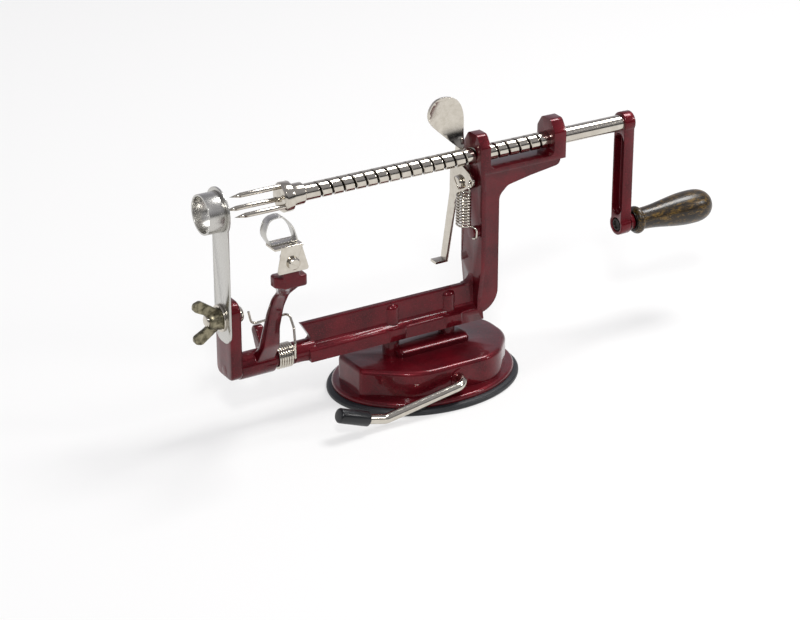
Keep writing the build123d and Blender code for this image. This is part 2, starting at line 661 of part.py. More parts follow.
def crank_arm():
    """The cast crank: a bar with a rim round its sunk left face."""
    x0, x1 = CRANK_X
    outline = Pos(0, SHAFT_Z) * Circle(CRANK_END_R)
    outline += Pos(0, HANDLE_Z) * Circle(CRANK_END_R)
    outline += Pos(0, SHAFT_Z - CRANK_THROW / 2) * Rectangle(CRANK_WIDTH, CRANK_THROW)
    body = slab_x(outline, x0, x1)
    body = chamfer(body.edges().group_by(Axis.X)[-1], 0.8)
    recess_h = CRANK_THROW - 2 * CRANK_END_R - 0.6
    recess = Pos(0, SHAFT_Z - CRANK_THROW / 2) * SlotOverall(recess_h, CRANK_WIDTH - 2 * RIM, rotation=90)
    body -= slab_x(recess, x0 - 1, x0 + RECESS_DEPTH)
    body += bar_x(x1 - 1, x1 + BOSS_LENGTH, BOSS_R, z=HANDLE_Z)
    hole = bar_x(x0 - 1, x1 + 1, TENON_R + SEAT, z=SHAFT_Z)
    flat = TENON_FLAT + SEAT
    hole &= block((x0 - 2, x1 + 2), (-flat, flat), (SHAFT_Z - 5, SHAFT_Z + 5))
    body -= hole
    body -= bar_x(x1 - SCREW_SINK, x1 + 1, SINK_R + SEAT, z=SHAFT_Z)
    body -= bar_x(x0 - 1, x1 + BOSS_LENGTH + 1, PIN_R + RUN, z=HANDLE_Z)
    body -= bar_x(x0 - 1, x0 + PIN_SINK, PIN_HEAD_R + GAP, z=HANDLE_Z)
    return body


def crank_screw():
    """Holds the crank on the shaft's tenon; its head is sunk in the crank's face."""
    x1 = CRANK_X[1]
    head = bar_x(x1 - SCREW_SINK, x1 - 0.2, SINK_R, z=SHAFT_Z)
    head = chamfer(head.edges().group_by(Axis.X)[-1], 0.4)
    head -= block((x1 - 0.9, x1), (-SINK_R - 1, SINK_R + 1), (SHAFT_Z - 0.5, SHAFT_Z + 0.5))
    return head + bar_x(x1 - 8.5, x1 - SCREW_SINK, 2.0, z=SHAFT_Z)


HANDLE_X = CRANK_X[1] + BOSS_LENGTH + 0.1 + WASHER_T + 0.1


def handle_pin():
    """The steel pin fast in the handle; it turns in the crank's boss."""
    x0 = CRANK_X[0] + PIN_SINK - 0.05
    head = bar_x(x0 - 1.1, x0, PIN_HEAD_R, z=HANDLE_Z)
    head = chamfer(head.edges().group_by(Axis.X)[0], 0.5)
    return head + bar_x(x0 - 0.5, HANDLE_X + PIN_REACH, PIN_R, z=HANDLE_Z)


def handle_washer():
    x0 = CRANK_X[1] + BOSS_LENGTH + 0.1
    ring = bar_x(x0, x0 + WASHER_T, BOSS_R + 0.9, z=HANDLE_Z)
    return ring - bar_x(x0 - 1, x0 + 2, PIN_R + 0.05, z=HANDLE_Z)


def wooden_handle():
    """A turned pear-shaped grip with a bead at the crank end."""
    x0 = HANDLE_X
    x1 = x0 + HANDLE_LENGTH
    collar = HANDLE_NECK_R + 0.3
    bead = ThreePointArc((x0, HANDLE_BEAD_R - 1.8), (x0 + 2.3, HANDLE_BEAD_R), (x0 + 4.8, collar))
    swell = Spline(
        (x0 + 4.8, collar),
        (x0 + 0.20 * HANDLE_LENGTH, HANDLE_NECK_R),
        (x0 + 0.45 * HANDLE_LENGTH, 7.3),
        (x0 + 0.70 * HANDLE_LENGTH, HANDLE_MAX_R),
        (x0 + 0.90 * HANDLE_LENGTH, 7.2),
        (x1, 0),
        tangents=[(1, -0.1), (0, -1)],
    )
    base = Polyline((x1, 0), (x0, 0), (x0, HANDLE_BEAD_R - 1.8))
    body = revolve(make_face([bead, swell, *base.edges()]), Axis.X)
    body -= bar_x(-1, PIN_REACH + 0.5, PIN_R).moved(Location((x0, 0, 0)))
    return Pos(0, 0, HANDLE_Z) * body


# ================================================================ release lever
def release_lever():
    """The bent plate whose tooth is the nut of the feed screw."""
    x0, x1 = LEVER_X
    tip = SHAFT_R - GROOVE_DEPTH + 0.1
    z, beside = SHAFT_Z, SHAFT_R + 1.15
    outline = [
        (EAR_Y - 2.4, z - 11.6),
        (EAR_Y - 1.6, z - 14.7),
        (1.5, z - 18.4),
        (6.0, z - 22.0),
        (10.5, z - 26.0),
        (18.8, z - 64.0),
        (24.0, z - 64.0),
        (15.8, z - 24.0),
        (15.6, z - 12.0),
        (11.6, z - 4.0),
        (beside + 4.2, z + 7.5),
        (beside + 0.2, z + 7.5),
        (beside, z + 1.6),
        (tip + 1.4, z + 0.4),
        (tip + 1.4, z - 0.4),
        (beside + 1.0, z - 2.4),
        (beside - 0.8, z - 6.4),
        (-2.0, z - 8.4),
    ]
    plate = rounded(outline, {0: 1.5, 1: 2, 3: 6, 4: 12, 8: 5, 9: 6, 17: 2})
    body = slab_x(plate, x0, x1)
    # ground tooth that stands in the shaft's groove
    tooth = [(tip, SHAFT_Z - 0.4), (7.5, SHAFT_Z - 2.2), (7.5, SHAFT_Z + 2.2), (tip, SHAFT_Z + 0.4)]
    body += slab_x(Polygon(*tooth, align=None), TOOTH_X - TOOTH_T / 2, TOOTH_X + TOOTH_T / 2)
    # dished thumb pad, square to the plate
    drop = Spline(
        (x1 - 2.0, z + 2.4),
        (x1 - 13.0, z + 12.6),
        (x1 - 19.2, z + 21.6),
        (x1 - 16.2, z + 28.8),
        (x1 - 9.8, z + 30.4),
        (x1 - 3.0, z + 28.0),
        (x1 + 1.2, z + 19.6),
        (x1 + 0.8, z + 9.4),
        (x1, z + 2.4),
        tangents=[(-1, 0.85), (-0.2, -1)],
    )
    pad = make_face([drop, Line(drop @ 1, drop @ 0)])
    blank = slab_y(pad, -5, 25)
    centre = Pos(SPOON_X, 8.8 - SPOON_DISH, SPOON_Z)
    shell = centre * Sphere(SPOON_DISH + 1.4) - centre * Sphere(SPOON_DISH)
    body += blank & shell
    # foot turned out for the finger
    body += block((x0 - 6.0, x1), (18.8, 24.0), (z - 64.6, z - 63.2))
    body -= bar_x(x0 - 1, x1 + 1, LEVER_PIN_R + RUN, y=LEVER_PIVOT_Y, z=LEVER_PIVOT_Z)
    body -= bar_x(x0 - 1, x1 + 1, 1.1, y=EAR_Y, z=EAR_Z)
    return body


def lever_pivot_screw():
    x0 = LEVER_X[0] - 0.1
    head = bar_x(x0 - 1.8, x0, 3.7)
    head = chamfer(head.edges().group_by(Axis.X)[0], 0.7)
    body = head + bar_x(x0 - 0.5, YOKE_LEFT[1] - 1.5, LEVER_PIN_R)
    return Pos(0, LEVER_PIVOT_Y, LEVER_PIVOT_Z) * body


def release_spring():
    """The extension spring that keeps the tooth in the groove."""
    x, y = RELEASE_SPRING_X, RELEASE_SPRING_Y
    z0, z1 = RELEASE_COIL_Z
    r = RELEASE_WIRE / 2
    coil, helix = coil_spring(RELEASE_COIL_R, r, RELEASE_TURNS, z1 - z0)
    coil = Pos(x, y, z0) * coil
    # each hook leaves the coil along the wire and bends towards what it holds
    low_end = Vector(x + RELEASE_COIL_R, y, z0)
    high_end = Vector(x + RELEASE_COIL_R, y, z1)
    upper = wire_rod(
        [high_end, high_end + (helix % 1) * 1.4, (x + 3.0, EAR_Y, EAR_Z), (LEVER_X[1] + 0.8, EAR_Y, EAR_Z)],
        r,
        [0.6, 0.8],
        spring_section(r),
    )
    hook_x = COLUMN_X[0] - 2.2
    hook_r = PEG_R + 0.15 + r
    lower = wire_rod(
        [
            low_end,
            low_end - (helix % 0) * 1.4,
            (hook_x, PEG_Y - hook_r, PEG_Z + 3.0),
            (hook_x, PEG_Y - hook_r, PEG_Z - hook_r),
            (hook_x, PEG_Y + hook_r, PEG_Z - hook_r),
            (hook_x, PEG_Y + hook_r, PEG_Z + 1.5),
        ],
        r,
        [0.6, 0.6, hook_r - 0.25, hook_r - 0.25],
        spring_section(r),
    )
    return coil + upper + lower


# ================================================================ suction base
def drum_outline(inset=0.0):
    """The base's plan: flats at the left and the front, rounded to the right."""
    half = [
        (DRUM_LEFT, -DRUM_FLAT),
        (DRUM_LEFT + 23.6, -DRUM_FRONT),
        (DRUM_RIGHT - 17.5, -DRUM_FRONT),
        (DRUM_RIGHT, -DRUM_FRONT + 20.0),
    ]
    points = half + [(x, -y) for x, y in reversed(half)]
    face = rounded(points, {0: 3, 1: 30, 2: 22, 3: 20, 4: 20, 5: 22, 6: 30, 7: 3})
    if inset:
        face = offset(face, amount=-inset)
    return face


def suction_pad():
    """The rubber pad under the base."""
    body = extrude(Ellipse(PAD_RX, PAD_RY), amount=PAD_T)
    body = fillet(body.edges().group_by(Axis.Z)[-1], 1.4)
    return body - bar_z(PAD_CENTRE_T, PAD_T + 1, PRESSER_R + 1.0, x=STEM_X)


def base_casting():
    """The cast drum over the pad, hollow underneath, with a saddle for the frame."""
    brim = Pos(0, 0, PAD_T) * extrude(Ellipse(PAD_RX - BRIM_INSET, PAD_RY - BRIM_INSET), amount=BRIM_T)
    brim = fillet(brim.edges().group_by(Axis.Z)[-1], 1.5)
    drum = Pos(0, 0, PAD_T) * extrude(drum_outline(), amount=DRUM_TOP - PAD_T)
    drum = fillet(drum.edges().group_by(Axis.Z)[-1], 2.4)
    body = brim + drum
    # low saddle on the roof, and the two posts that the beam stands on
    saddle = block(SADDLE_X, (-SADDLE_HALF, SADDLE_HALF), (DRUM_TOP - 1, SADDLE_TOP))
    saddle = fillet(saddle.edges().filter_by(Axis.Z), 3.0)
    body += chamfer(saddle.edges().group_by(Axis.Z)[-1], 0.8)
    for x in PILLAR_X:
        body += bar_z(DRUM_TOP - 1, BEAM_BOTTOM, POST_R, x=x)
    # hollow
    cavity = Pos(0, 0, PAD_T) * extrude(drum_outline(DRUM_WALL), amount=DRUM_TOP - ROOF_T - PAD_T)
    body -= cavity
    body -= block((STEM_X - 6.5, STEM_X + 6.5), (-4.5, 4.5), (DRUM_TOP - ROOF_T - 1, DRUM_TOP))
    # bearing rib for the suction spindle, hung from the roof
    rib = block((LIFTER_X - 5, LIFTER_X + 5), (-14.0, -10.5), (LIFTER_Z - 5.0, DRUM_TOP - 1))
    body += rib
    body += bar_y(-DRUM_FRONT - 0.8, -DRUM_FRONT + 1, 5.0, x=LIFTER_X, z=LIFTER_Z)
    body -= bar_y(-DRUM_FRONT - 2, -9.0, LIFTER_R + RUN, x=LIFTER_X, z=LIFTER_Z)
    for x in PILLAR_X:
        body -= bar_z(PAD_T, BEAM_BOTTOM + 1, SCREW_R + SEAT, x=x)
    return body


def frame_screws():
    """The two screws that hold the frame on the base, from inside the hollow."""
    shapes = []
    roof = DRUM_TOP - ROOF_T
    for x in PILLAR_X:
        head = bar_z(roof - SCREW_HEAD_T, roof, SCREW_HEAD_R, x=x)
        head = chamfer(head.edges().group_by(Axis.Z)[0], 0.7)
        shapes.append(head + bar_z(roof - 0.5, BEAM_TOP - 6.5, SCREW_R, x=x))
    return Compound(children=shapes)


# The spindle's crank pin swings evenly about level, so that it lifts the stem by LIFT.
PIN_THROW = LIFT / 2 / math.sin(math.radians(LIFT_ANGLE / 2))
PIN_START = math.radians(-LIFT_ANGLE / 2)
PIN_X = LIFTER_X - PIN_THROW * math.cos(PIN_START)
PIN_Z = LIFTER_Z + PIN_THROW * math.sin(PIN_START)


def suction_lever():
    """The bent rod outside the base and its spindle through the wall."""
    points = [
        (LIFTER_X, -8.0, LIFTER_Z),
        (LIFTER_X, LIFTER_PLANE, LIFTER_Z),
        (-44.0, LIFTER_PLANE, 4.6),
        (-53.4, LIFTER_PLANE, 6.9),
        (-69.4, LIFTER_PLANE, 13.0),
    ]
    return wire_rod(points, LIFTER_R, 6.0)


def lever_sleeve():
    """The plastic grip pushed on the lever's end."""
    start = Vector(-54.0, LIFTER_PLANE, 7.13)
    end = Vector(-70.8, LIFTER_PLANE, 13.53)
    along = end - start
    plane = Plane(origin=start, z_dir=along)
    body = extrude(plane * Circle(3.8), amount=along.length)
    body = chamfer(body.edges().filter_by(GeomType.CIRCLE), 0.7)
    return body - suction_lever()


def lever_cam():
    """The disc on the spindle's end with the pin that lifts the stem."""
    disc = bar_y(-8.0, -5.4, CAM_R, x=LIFTER_X, z=LIFTER_Z)
    return disc + bar_y(-6.0, 3.2, CRANK_PIN_R, x=PIN_X, z=PIN_Z)


def lever_clip():
    """The spring clip that keeps the spindle in the wall."""
    y0 = -DRUM_FRONT + DRUM_WALL + GAP
    ring = bar_y(y0, y0 + 0.8, CAM_R, x=LIFTER_X, z=LIFTER_Z)
    ring -= bar_y(y0 - 1, y0 + 2, LIFTER_R, x=LIFTER_X, z=LIFTER_Z)
    mouth = block((LIFTER_X - 1.6, LIFTER_X + 1.6), (y0 - 1, y0 + 2), (LIFTER_Z - 6, LIFTER_Z - LIFTER_R + 0.3))
    return ring - mouth


def pad_plate():
    """The steel disc in the middle of the pad that the stem pulls on."""
    z0 = PAD_CENTRE_T + 0.1
    return bar_z(z0, z0 + PRESSER_T, PRESSER_R, x=STEM_X)


def suction_stem():
    """The slotted stem between the pin and the plate."""
    z0 = PAD_CENTRE_T + 0.1 + PRESSER_T
    stem = block((STEM_X - 4.8, STEM_X + 4.8), (-2.6, 2.6), (z0, 15.4))
    stem = fillet(stem.edges().filter_by(Axis.Y).group_by(Axis.Z)[-1], 2.0)
    half_w = PIN_THROW * (1 - math.cos(PIN_START)) / 2 + CRANK_PIN_R + GAP
    middle = LIFTER_X - PIN_THROW * (1 + math.cos(PIN_START)) / 2
    half_h = CRANK_PIN_R + GAP
    slot = Pos(middle, PIN_Z) * SlotOverall(2 * half_w, 2 * half_h)
    return stem - slab_y(slot, -4, 4)


# ================================================================ export
NODES = {
    "frame_casting": frame_casting,
    "end_plate": end_plate,
    "base_casting": base_casting,
    "frame_screws": frame_screws,
    "suction_pad": suction_pad,
    "pad_plate": pad_plate,
    "suction_stem": suction_stem,
    "lever_cam": lever_cam,
    "suction_lever": suction_lever,
    "lever_sleeve": lever_sleeve,
    "lever_clip": lever_clip,
    "peeler_arm": peeler_arm,
    "arm_spring": arm_spring,
    "blade_carrier": blade_carrier,
    "peeling_blade": peeling_blade,
    "carrier_screw": carrier_screw,
    "slicer_blade": slicer_blade,
    "coring_ring": coring_ring,
    "blade_bolt": blade_bolt,
    "blade_washer": blade_washer,
    "wing_nut": wing_nut,
    "feed_shaft": feed_shaft,
    "fork_collar": fork_collar,
    "fork_hub": fork_hub,
    "fork_prongs": fork_prongs,
    "crank_arm": crank_arm,
    "crank_screw": crank_screw,
    "handle_pin": handle_pin,
    "handle_washer": handle_washer,
    "wooden_handle": wooden_handle,
    "release_lever": release_lever,
    "lever_pivot_screw": lever_pivot_screw,
    "release_spring": release_spring,
}

for name, make in NODES.items():
    export_step(make(), f"parts/{name}.step")
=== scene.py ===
"""Looks for a hand-cranked apple peeler, corer and slicer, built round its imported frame."""

import json
import logging
import math
from dataclasses import dataclass
from enum import Enum
from typing import Any, Callable, Sequence

import bmesh
import bpy
from mathutils import Matrix, Vector

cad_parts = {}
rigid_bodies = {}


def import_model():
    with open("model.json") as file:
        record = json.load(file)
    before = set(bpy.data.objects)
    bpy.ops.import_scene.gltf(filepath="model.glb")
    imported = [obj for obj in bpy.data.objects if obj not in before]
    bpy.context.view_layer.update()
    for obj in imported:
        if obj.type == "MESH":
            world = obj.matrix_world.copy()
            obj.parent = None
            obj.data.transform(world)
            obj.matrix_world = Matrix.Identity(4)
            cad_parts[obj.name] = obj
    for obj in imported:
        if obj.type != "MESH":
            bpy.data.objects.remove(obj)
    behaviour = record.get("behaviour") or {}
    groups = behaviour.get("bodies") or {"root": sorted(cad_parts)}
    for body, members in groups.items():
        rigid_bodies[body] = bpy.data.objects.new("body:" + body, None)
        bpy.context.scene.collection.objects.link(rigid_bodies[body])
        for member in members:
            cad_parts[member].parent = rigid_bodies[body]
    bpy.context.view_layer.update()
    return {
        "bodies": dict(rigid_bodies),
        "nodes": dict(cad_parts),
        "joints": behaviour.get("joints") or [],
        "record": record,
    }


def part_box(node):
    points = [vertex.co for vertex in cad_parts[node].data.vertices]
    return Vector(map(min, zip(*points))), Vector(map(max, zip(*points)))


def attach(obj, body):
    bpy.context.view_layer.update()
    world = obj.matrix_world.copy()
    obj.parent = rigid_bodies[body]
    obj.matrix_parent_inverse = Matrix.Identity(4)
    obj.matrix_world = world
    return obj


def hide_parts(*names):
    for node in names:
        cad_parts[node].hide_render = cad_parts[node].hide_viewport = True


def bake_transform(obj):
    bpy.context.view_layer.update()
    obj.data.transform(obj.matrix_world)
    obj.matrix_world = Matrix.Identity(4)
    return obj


MM = 0.001
WELD = 0.002 * MM       # points nearer to each other than this become one
FLAT_ANGLE = math.radians(0.6)      # faces that turn less than this against each other become one
SHARP_ANGLE = math.radians(32)      # an edge that turns more than this is rounded
STRAIGHT_ON = -0.85     # cosine under which one edge carries on another
ROOM_SHARE = 0.42       # how much of a neighbour's length a rounding may take up
LEAST_ROOM = 0.05       # under this share of its width a rounding is left off
GROOVE = "groove_depth"      # attribute of the feed screw's mesh, one at the bottom of the groove
LOG = logging.getLogger("apple_peeler")

Point = tuple[float, float, float]
Profile = Sequence[tuple[float, float]]
Stops = Sequence[tuple[float, str]]
Reshape = Callable[[Vector], Vector]
Values = dict[str | int, Any]
Links = dict[str | int, bpy.types.NodeSocket]
Step = tuple[str, str, str | float, str | float]


# ------------------------------------------------------------------ nodes and colours
def linear(hex_code: str) -> tuple[float, float, float, float]:
    """Turn an sRGB hex colour into the linear values that a shader takes.

    Args:
        hex_code: a colour such as "#6B1A25".

    Returns:
        Red, green, blue and an alpha of one.
    """
    parts = [int(hex_code[i : i + 2], 16) / 255 for i in (1, 3, 5)]
    low = [p / 12.92 if p <= 0.04045 else ((p + 0.055) / 1.055) ** 2.4 for p in parts]
    return (low[0], low[1], low[2], 1.0)


def add(
    tree: bpy.types.NodeTree,
    kind: str,
    settings: dict[str, Any] | None = None,
    values: Values | None = None,
    links: Links | None = None,
    stops: Stops = (),
) -> bpy.types.Node:
    """Add one node with its settings, its unlinked values and its links.

    Args:
        tree: the shader or geometry tree.
        kind: the node's type, such as "ShaderNodeTexNoise".
        settings: attributes of the node.
        values: default values of its inputs, by name or number.
        links: the sockets that feed its inputs, by name or number.
        stops: positions with their hex colours, in order, where the node has a ramp of colours.

    Returns:
        The new node.
    """
    node = tree.nodes.new(kind)
    for name, value in (settings or {}).items():
        setattr(node, name, value)
    for name, value in (values or {}).items():
        node.inputs[name].default_value = value
    for name, socket in (links or {}).items():
        tree.links.new(socket, node.inputs[name])
    for number, (position, hex_code) in enumerate(stops):
        elements = node.color_ramp.elements
        element = elements[number] if number < len(elements) else elements.new(position)
        element.position = position
        element.color = linear(hex_code)
    return node


@dataclass(frozen=True)
class Finish:
    """A surface finish. Each kind of finish lays its own patterns."""

    name: str

    def patterns(self, tree: bpy.types.NodeTree, place: bpy.types.NodeSocket) -> tuple[Values, Links]:
        """Lay the nodes of the patterns, which each kind of finish does in its own way.

        Args:
            tree: the material's tree.
            place: where a point lies on the object.

        Returns:
            The shader's plain values, and the sockets that feed its other inputs.
        """
        raise NotImplementedError

    def make(self) -> bpy.types.Material:
        """Build the material.

        Returns:
            The material, with a principled shader and the finish's own patterns.
        """
        material = bpy.data.materials.new(self.name)
        material.use_nodes = True
        tree = material.node_tree
        tree.nodes.clear()
        place = add(tree, "ShaderNodeTexCoord").outputs["Object"]
        values, links = self.patterns(tree, place)
        shader = add(tree, "ShaderNodeBsdfPrincipled", values=values, links=links)
        add(tree, "ShaderNodeOutputMaterial", links={"Surface": shader.outputs["BSDF"]})
        return material


@dataclass(frozen=True)
class CastEnamel(Finish):
    """Metallic stoving enamel over cast iron: deep wine red under gloss, a little rippled by the casting."""

    body: str = "#5F0A15"
    shade: str = "#43060E"
    flake: str = "#7E1B2B"
    metallic: float = 0.4
    roughness: float = 0.34
    specular: float = 0.12      # low, because the lacquer does the mirroring
    lacquer_ior: float = 1.3
    lacquer_roughness: float = 0.05
    tone_mm: float = 14.0
    ripple_mm: float = 5.0
    ripple_depth_mm: float = 0.14
    flake_mm: float = 0.45      # coarser than real flake, which is too fine to show

    def patterns(self, tree: bpy.types.NodeTree, place: bpy.types.NodeSocket) -> tuple[Values, Links]:
        """Deep red with a slow change of tone, fine metal flake, a lacquer coat and a faint orange peel.

        Args:
            tree: the material's tree.
            place: where a point lies on the object.

        Returns:
            The shader's plain values, and the sockets that feed its other inputs.
        """
        tone = add(
            tree,
            "ShaderNodeTexNoise",
            values={"Scale": 1 / (self.tone_mm * MM), "Detail": 3.0},
            links={"Vector": place},
        )
        base = add(
            tree,
            "ShaderNodeValToRGB",
            links={"Fac": tone.outputs["Fac"]},
            stops=[(0.35, self.shade), (0.65, self.body)],
        )
        spark = add(
            tree,
            "ShaderNodeTexNoise",
            values={"Scale": 1 / (self.flake_mm * MM), "Detail": 1.0},
            links={"Vector": place},
        )
        share = add(
            tree,
            "ShaderNodeMapRange",
            values={"From Min": 0.52, "From Max": 0.8, "To Max": 0.75},
            links={"Value": spark.outputs["Fac"]},
        )
        colour = add(
            tree,
            "ShaderNodeMix",
            settings={"data_type": "RGBA"},
            values={7: linear(self.flake)},
            links={"Factor": share.outputs["Result"], 6: base.outputs["Color"]},
        )
        gloss = add(
            tree,
            "ShaderNodeMapRange",
            values={"To Min": self.roughness - 0.05, "To Max": self.roughness + 0.09},
            links={"Value": spark.outputs["Fac"]},
        )
        ripple = add(
            tree,
            "ShaderNodeTexNoise",
            values={"Scale": 1 / (self.ripple_mm * MM), "Detail": 2.0, "Roughness": 0.45},
            links={"Vector": place},
        )
        bump = add(
            tree,
            "ShaderNodeBump",
            values={"Strength": 0.45, "Distance": self.ripple_depth_mm * MM},
            links={"Height": ripple.outputs["Fac"]},
        )
        values = {
            "Metallic": self.metallic,
            "Specular IOR Level": self.specular,
            "Coat Weight": 1.0,
            "Coat IOR": self.lacquer_ior,
            "Coat Roughness": self.lacquer_roughness,
        }
        links = {
            "Base Color": colour.outputs[2],
            "Roughness": gloss.outputs["Result"],
            "Normal": bump.outputs["Normal"],
            "Coat Normal": bump.outputs["Normal"],
        }
        return values, links


@dataclass(frozen=True)
class PlatedSteel(Finish):
    """Bright nickel plate on turned or pressed steel: a warm mirror with faint handling marks."""

    metal: str = "#D0CABF"
    worn: str = "#BFB8AC"
    roughness: float = 0.12
    mark_mm: float = 3.0
    grain_mm: float = 0.35
    grain_depth_mm: float = 0.03

    def patterns(self, tree: bpy.types.NodeTree, place: bpy.types.NodeSocket) -> tuple[Values, Links]:
        """A mirror whose gloss varies, with a very shallow grain.

        Args:
            tree: the material's tree.
            place: where a point lies on the object.

        Returns:
            The shader's plain values, and the sockets that feed its other inputs.
        """
        marks = add(
            tree,
            "ShaderNodeTexNoise",
            values={"Scale": 1 / (self.mark_mm * MM), "Detail": 4.0, "Roughness": 0.6},
            links={"Vector": place},
        )
        low, high = self.roughness - 0.03, self.roughness + 0.05
        gloss = add(
            tree,
            "ShaderNodeMapRange",
            values={"From Min": 0.3, "From Max": 0.7, "To Min": low, "To Max": high},
            links={"Value": marks.outputs["Fac"]},
        )
        grain = add(
            tree, "ShaderNodeTexNoise", values={"Scale": 1 / (self.grain_mm * MM)}, links={"Vector": place}
        )
        bump = add(
            tree,
            "ShaderNodeBump",
            values={"Strength": 0.12, "Distance": self.grain_depth_mm * MM},
            links={"Height": grain.outputs["Fac"]},
        )
        links = {
            "Base Color": self.colour(tree, marks.outputs["Fac"]),
            "Roughness": gloss.outputs["Result"],
            "Normal": bump.outputs["Normal"],
        }
        return {"Metallic": 1.0}, links

    def colour(self, tree: bpy.types.NodeTree, marks: bpy.types.NodeSocket) -> bpy.types.NodeSocket:
        """The plate's colour, a little darker where it is handled."""
        stops = [(0.3, self.metal), (0.75, self.worn)]
        return add(tree, "ShaderNodeValToRGB", links={"Fac": marks}, stops=stops).outputs["Color"]


@dataclass(frozen=True)
class GroovedSteel(PlatedSteel):
    """The same plate on the feed screw, with painted shade that darkens the bottom of its groove."""

    # painted shade for the bottom of the groove, not a colour that the plate has
    groove_shade: str = "#17140F"

    def colour(self, tree: bpy.types.NodeTree, marks: bpy.types.NodeSocket) -> bpy.types.NodeSocket:
        """The plate's colour, with painted shade where the shape says that the groove is deep.

        Args:
            tree: the material's tree.
            marks: the pattern of the handling marks.

        Returns:
            The colour socket.
        """
        plate = super().colour(tree, marks)
        depth = add(tree, "ShaderNodeAttribute", settings={"attribute_name": GROOVE})
        share = add(
            tree,
            "ShaderNodeMapRange",
            values={"From Min": 0.15, "From Max": 0.8},
            links={"Value": depth.outputs["Fac"]},
        )
        # painted shade: the deeper the groove, the nearer the plate's colour goes to the dark shade colour
        mixed = add(
            tree,
            "ShaderNodeMix",
            settings={"data_type": "RGBA"},
            values={7: linear(self.groove_shade)},
            links={"Factor": share.outputs["Result"], 6: plate},
        )
        return mixed.outputs[2]


@dataclass(frozen=True)
class GroundSteel(Finish):
    """Stainless blade steel, ground lengthwise: fine straight scratches that stretch the highlights."""

    metal: str = "#C6C4BF"
    roughness: float = 0.24
    scratch_mm: float = 0.25        # coarser than the real grit, to show at all
    scratch_depth_mm: float = 0.03
    run: Point = (1.0, 1.0, 0.04)

    def patterns(self, tree: bpy.types.NodeTree, place: bpy.types.NodeSocket) -> tuple[Values, Links]:
        """Scratches along the run, in height and in gloss.

        Args:
            tree: the material's tree.
            place: where a point lies on the object.

        Returns:
            The shader's plain values, and the sockets that feed its other inputs.
        """
        along = add(tree, "ShaderNodeMapping", values={"Scale": self.run}, links={"Vector": place})
        scratch = add(
            tree,
            "ShaderNodeTexNoise",
            values={"Scale": 1 / (self.scratch_mm * MM), "Detail": 3.0},
            links={"Vector": along.outputs["Vector"]},
        )
        gloss = add(
            tree,
            "ShaderNodeMapRange",
            values={"To Min": self.roughness - 0.06, "To Max": self.roughness + 0.12},
            links={"Value": scratch.outputs["Fac"]},
        )
        bump = add(
            tree,
            "ShaderNodeBump",
            values={"Strength": 0.3, "Distance": self.scratch_depth_mm * MM},
            links={"Height": scratch.outputs["Fac"]},
        )
        values = {"Base Color": linear(self.metal), "Metallic": 1.0}
        return values, {"Roughness": gloss.outputs["Result"], "Normal": bump.outputs["Normal"]}


@dataclass(frozen=True)
class CastBrass(Finish):
    """Plated cast brass of the wing nut: dull and olive, with paler patches where the plate is left."""

    bright: str = "#968F78"
    dull: str = "#4A4637"
    roughness: float = 0.36
    blotch_mm: float = 2.2
    blotch_depth_mm: float = 0.08

    def patterns(self, tree: bpy.types.NodeTree, place: bpy.types.NodeSocket) -> tuple[Values, Links]:
        """Two tones in blotches, with a cast texture.

        Args:
            tree: the material's tree.
            place: where a point lies on the object.

        Returns:
            The shader's plain values, and the sockets that feed its other inputs.
        """
        blotch = add(
            tree,
            "ShaderNodeTexNoise",
            values={"Scale": 1 / (self.blotch_mm * MM), "Detail": 4.0},
            links={"Vector": place},
        )
        colour = add(
            tree,
            "ShaderNodeValToRGB",
            links={"Fac": blotch.outputs["Fac"]},
            stops=[(0.34, self.dull), (0.62, self.bright)],
        )
        bump = add(
            tree,
            "ShaderNodeBump",
            values={"Strength": 0.5, "Distance": self.blotch_depth_mm * MM},
            links={"Height": blotch.outputs["Fac"]},
        )
        values = {"Metallic": 1.0, "Roughness": self.roughness}
        return values, {"Base Color": colour.outputs["Color"], "Normal": bump.outputs["Normal"]}


@dataclass(frozen=True)
class MouldedBlack(Finish):
    """Moulded rubber or PVC: nearly black, a little dusty, with a fine moulded grain."""

    tone: str = "#0F1116"
    dust: str = "#171A20"
    roughness: float = 0.48
    dust_mm: float = 9.0
    grain_mm: float = 0.6
    grain_depth_mm: float = 0.06

    def patterns(self, tree: bpy.types.NodeTree, place: bpy.types.NodeSocket) -> tuple[Values, Links]:
        """Dusty patches over a fine grain.

        Args:
            tree: the material's tree.
            place: where a point lies on the object.

        Returns:
            The shader's plain values, and the sockets that feed its other inputs.
        """
        patch = add(
            tree,
            "ShaderNodeTexNoise",
            values={"Scale": 1 / (self.dust_mm * MM), "Detail": 5.0},
            links={"Vector": place},
        )
        colour = add(
            tree,
            "ShaderNodeValToRGB",
            links={"Fac": patch.outputs["Fac"]},
            stops=[(0.42, self.tone), (0.75, self.dust)],
        )
        grain = add(
            tree,
            "ShaderNodeTexNoise",
            values={"Scale": 1 / (self.grain_mm * MM), "Detail": 2.0},
            links={"Vector": place},
        )
        bump = add(
            tree,
            "ShaderNodeBump",
            values={"Strength": 0.35, "Distance": self.grain_depth_mm * MM},
            links={"Height": grain.outputs["Fac"]},
        )
        links = {"Base Color": colour.outputs["Color"], "Normal": bump.outputs["Normal"]}
        return {"Roughness": self.roughness}, links


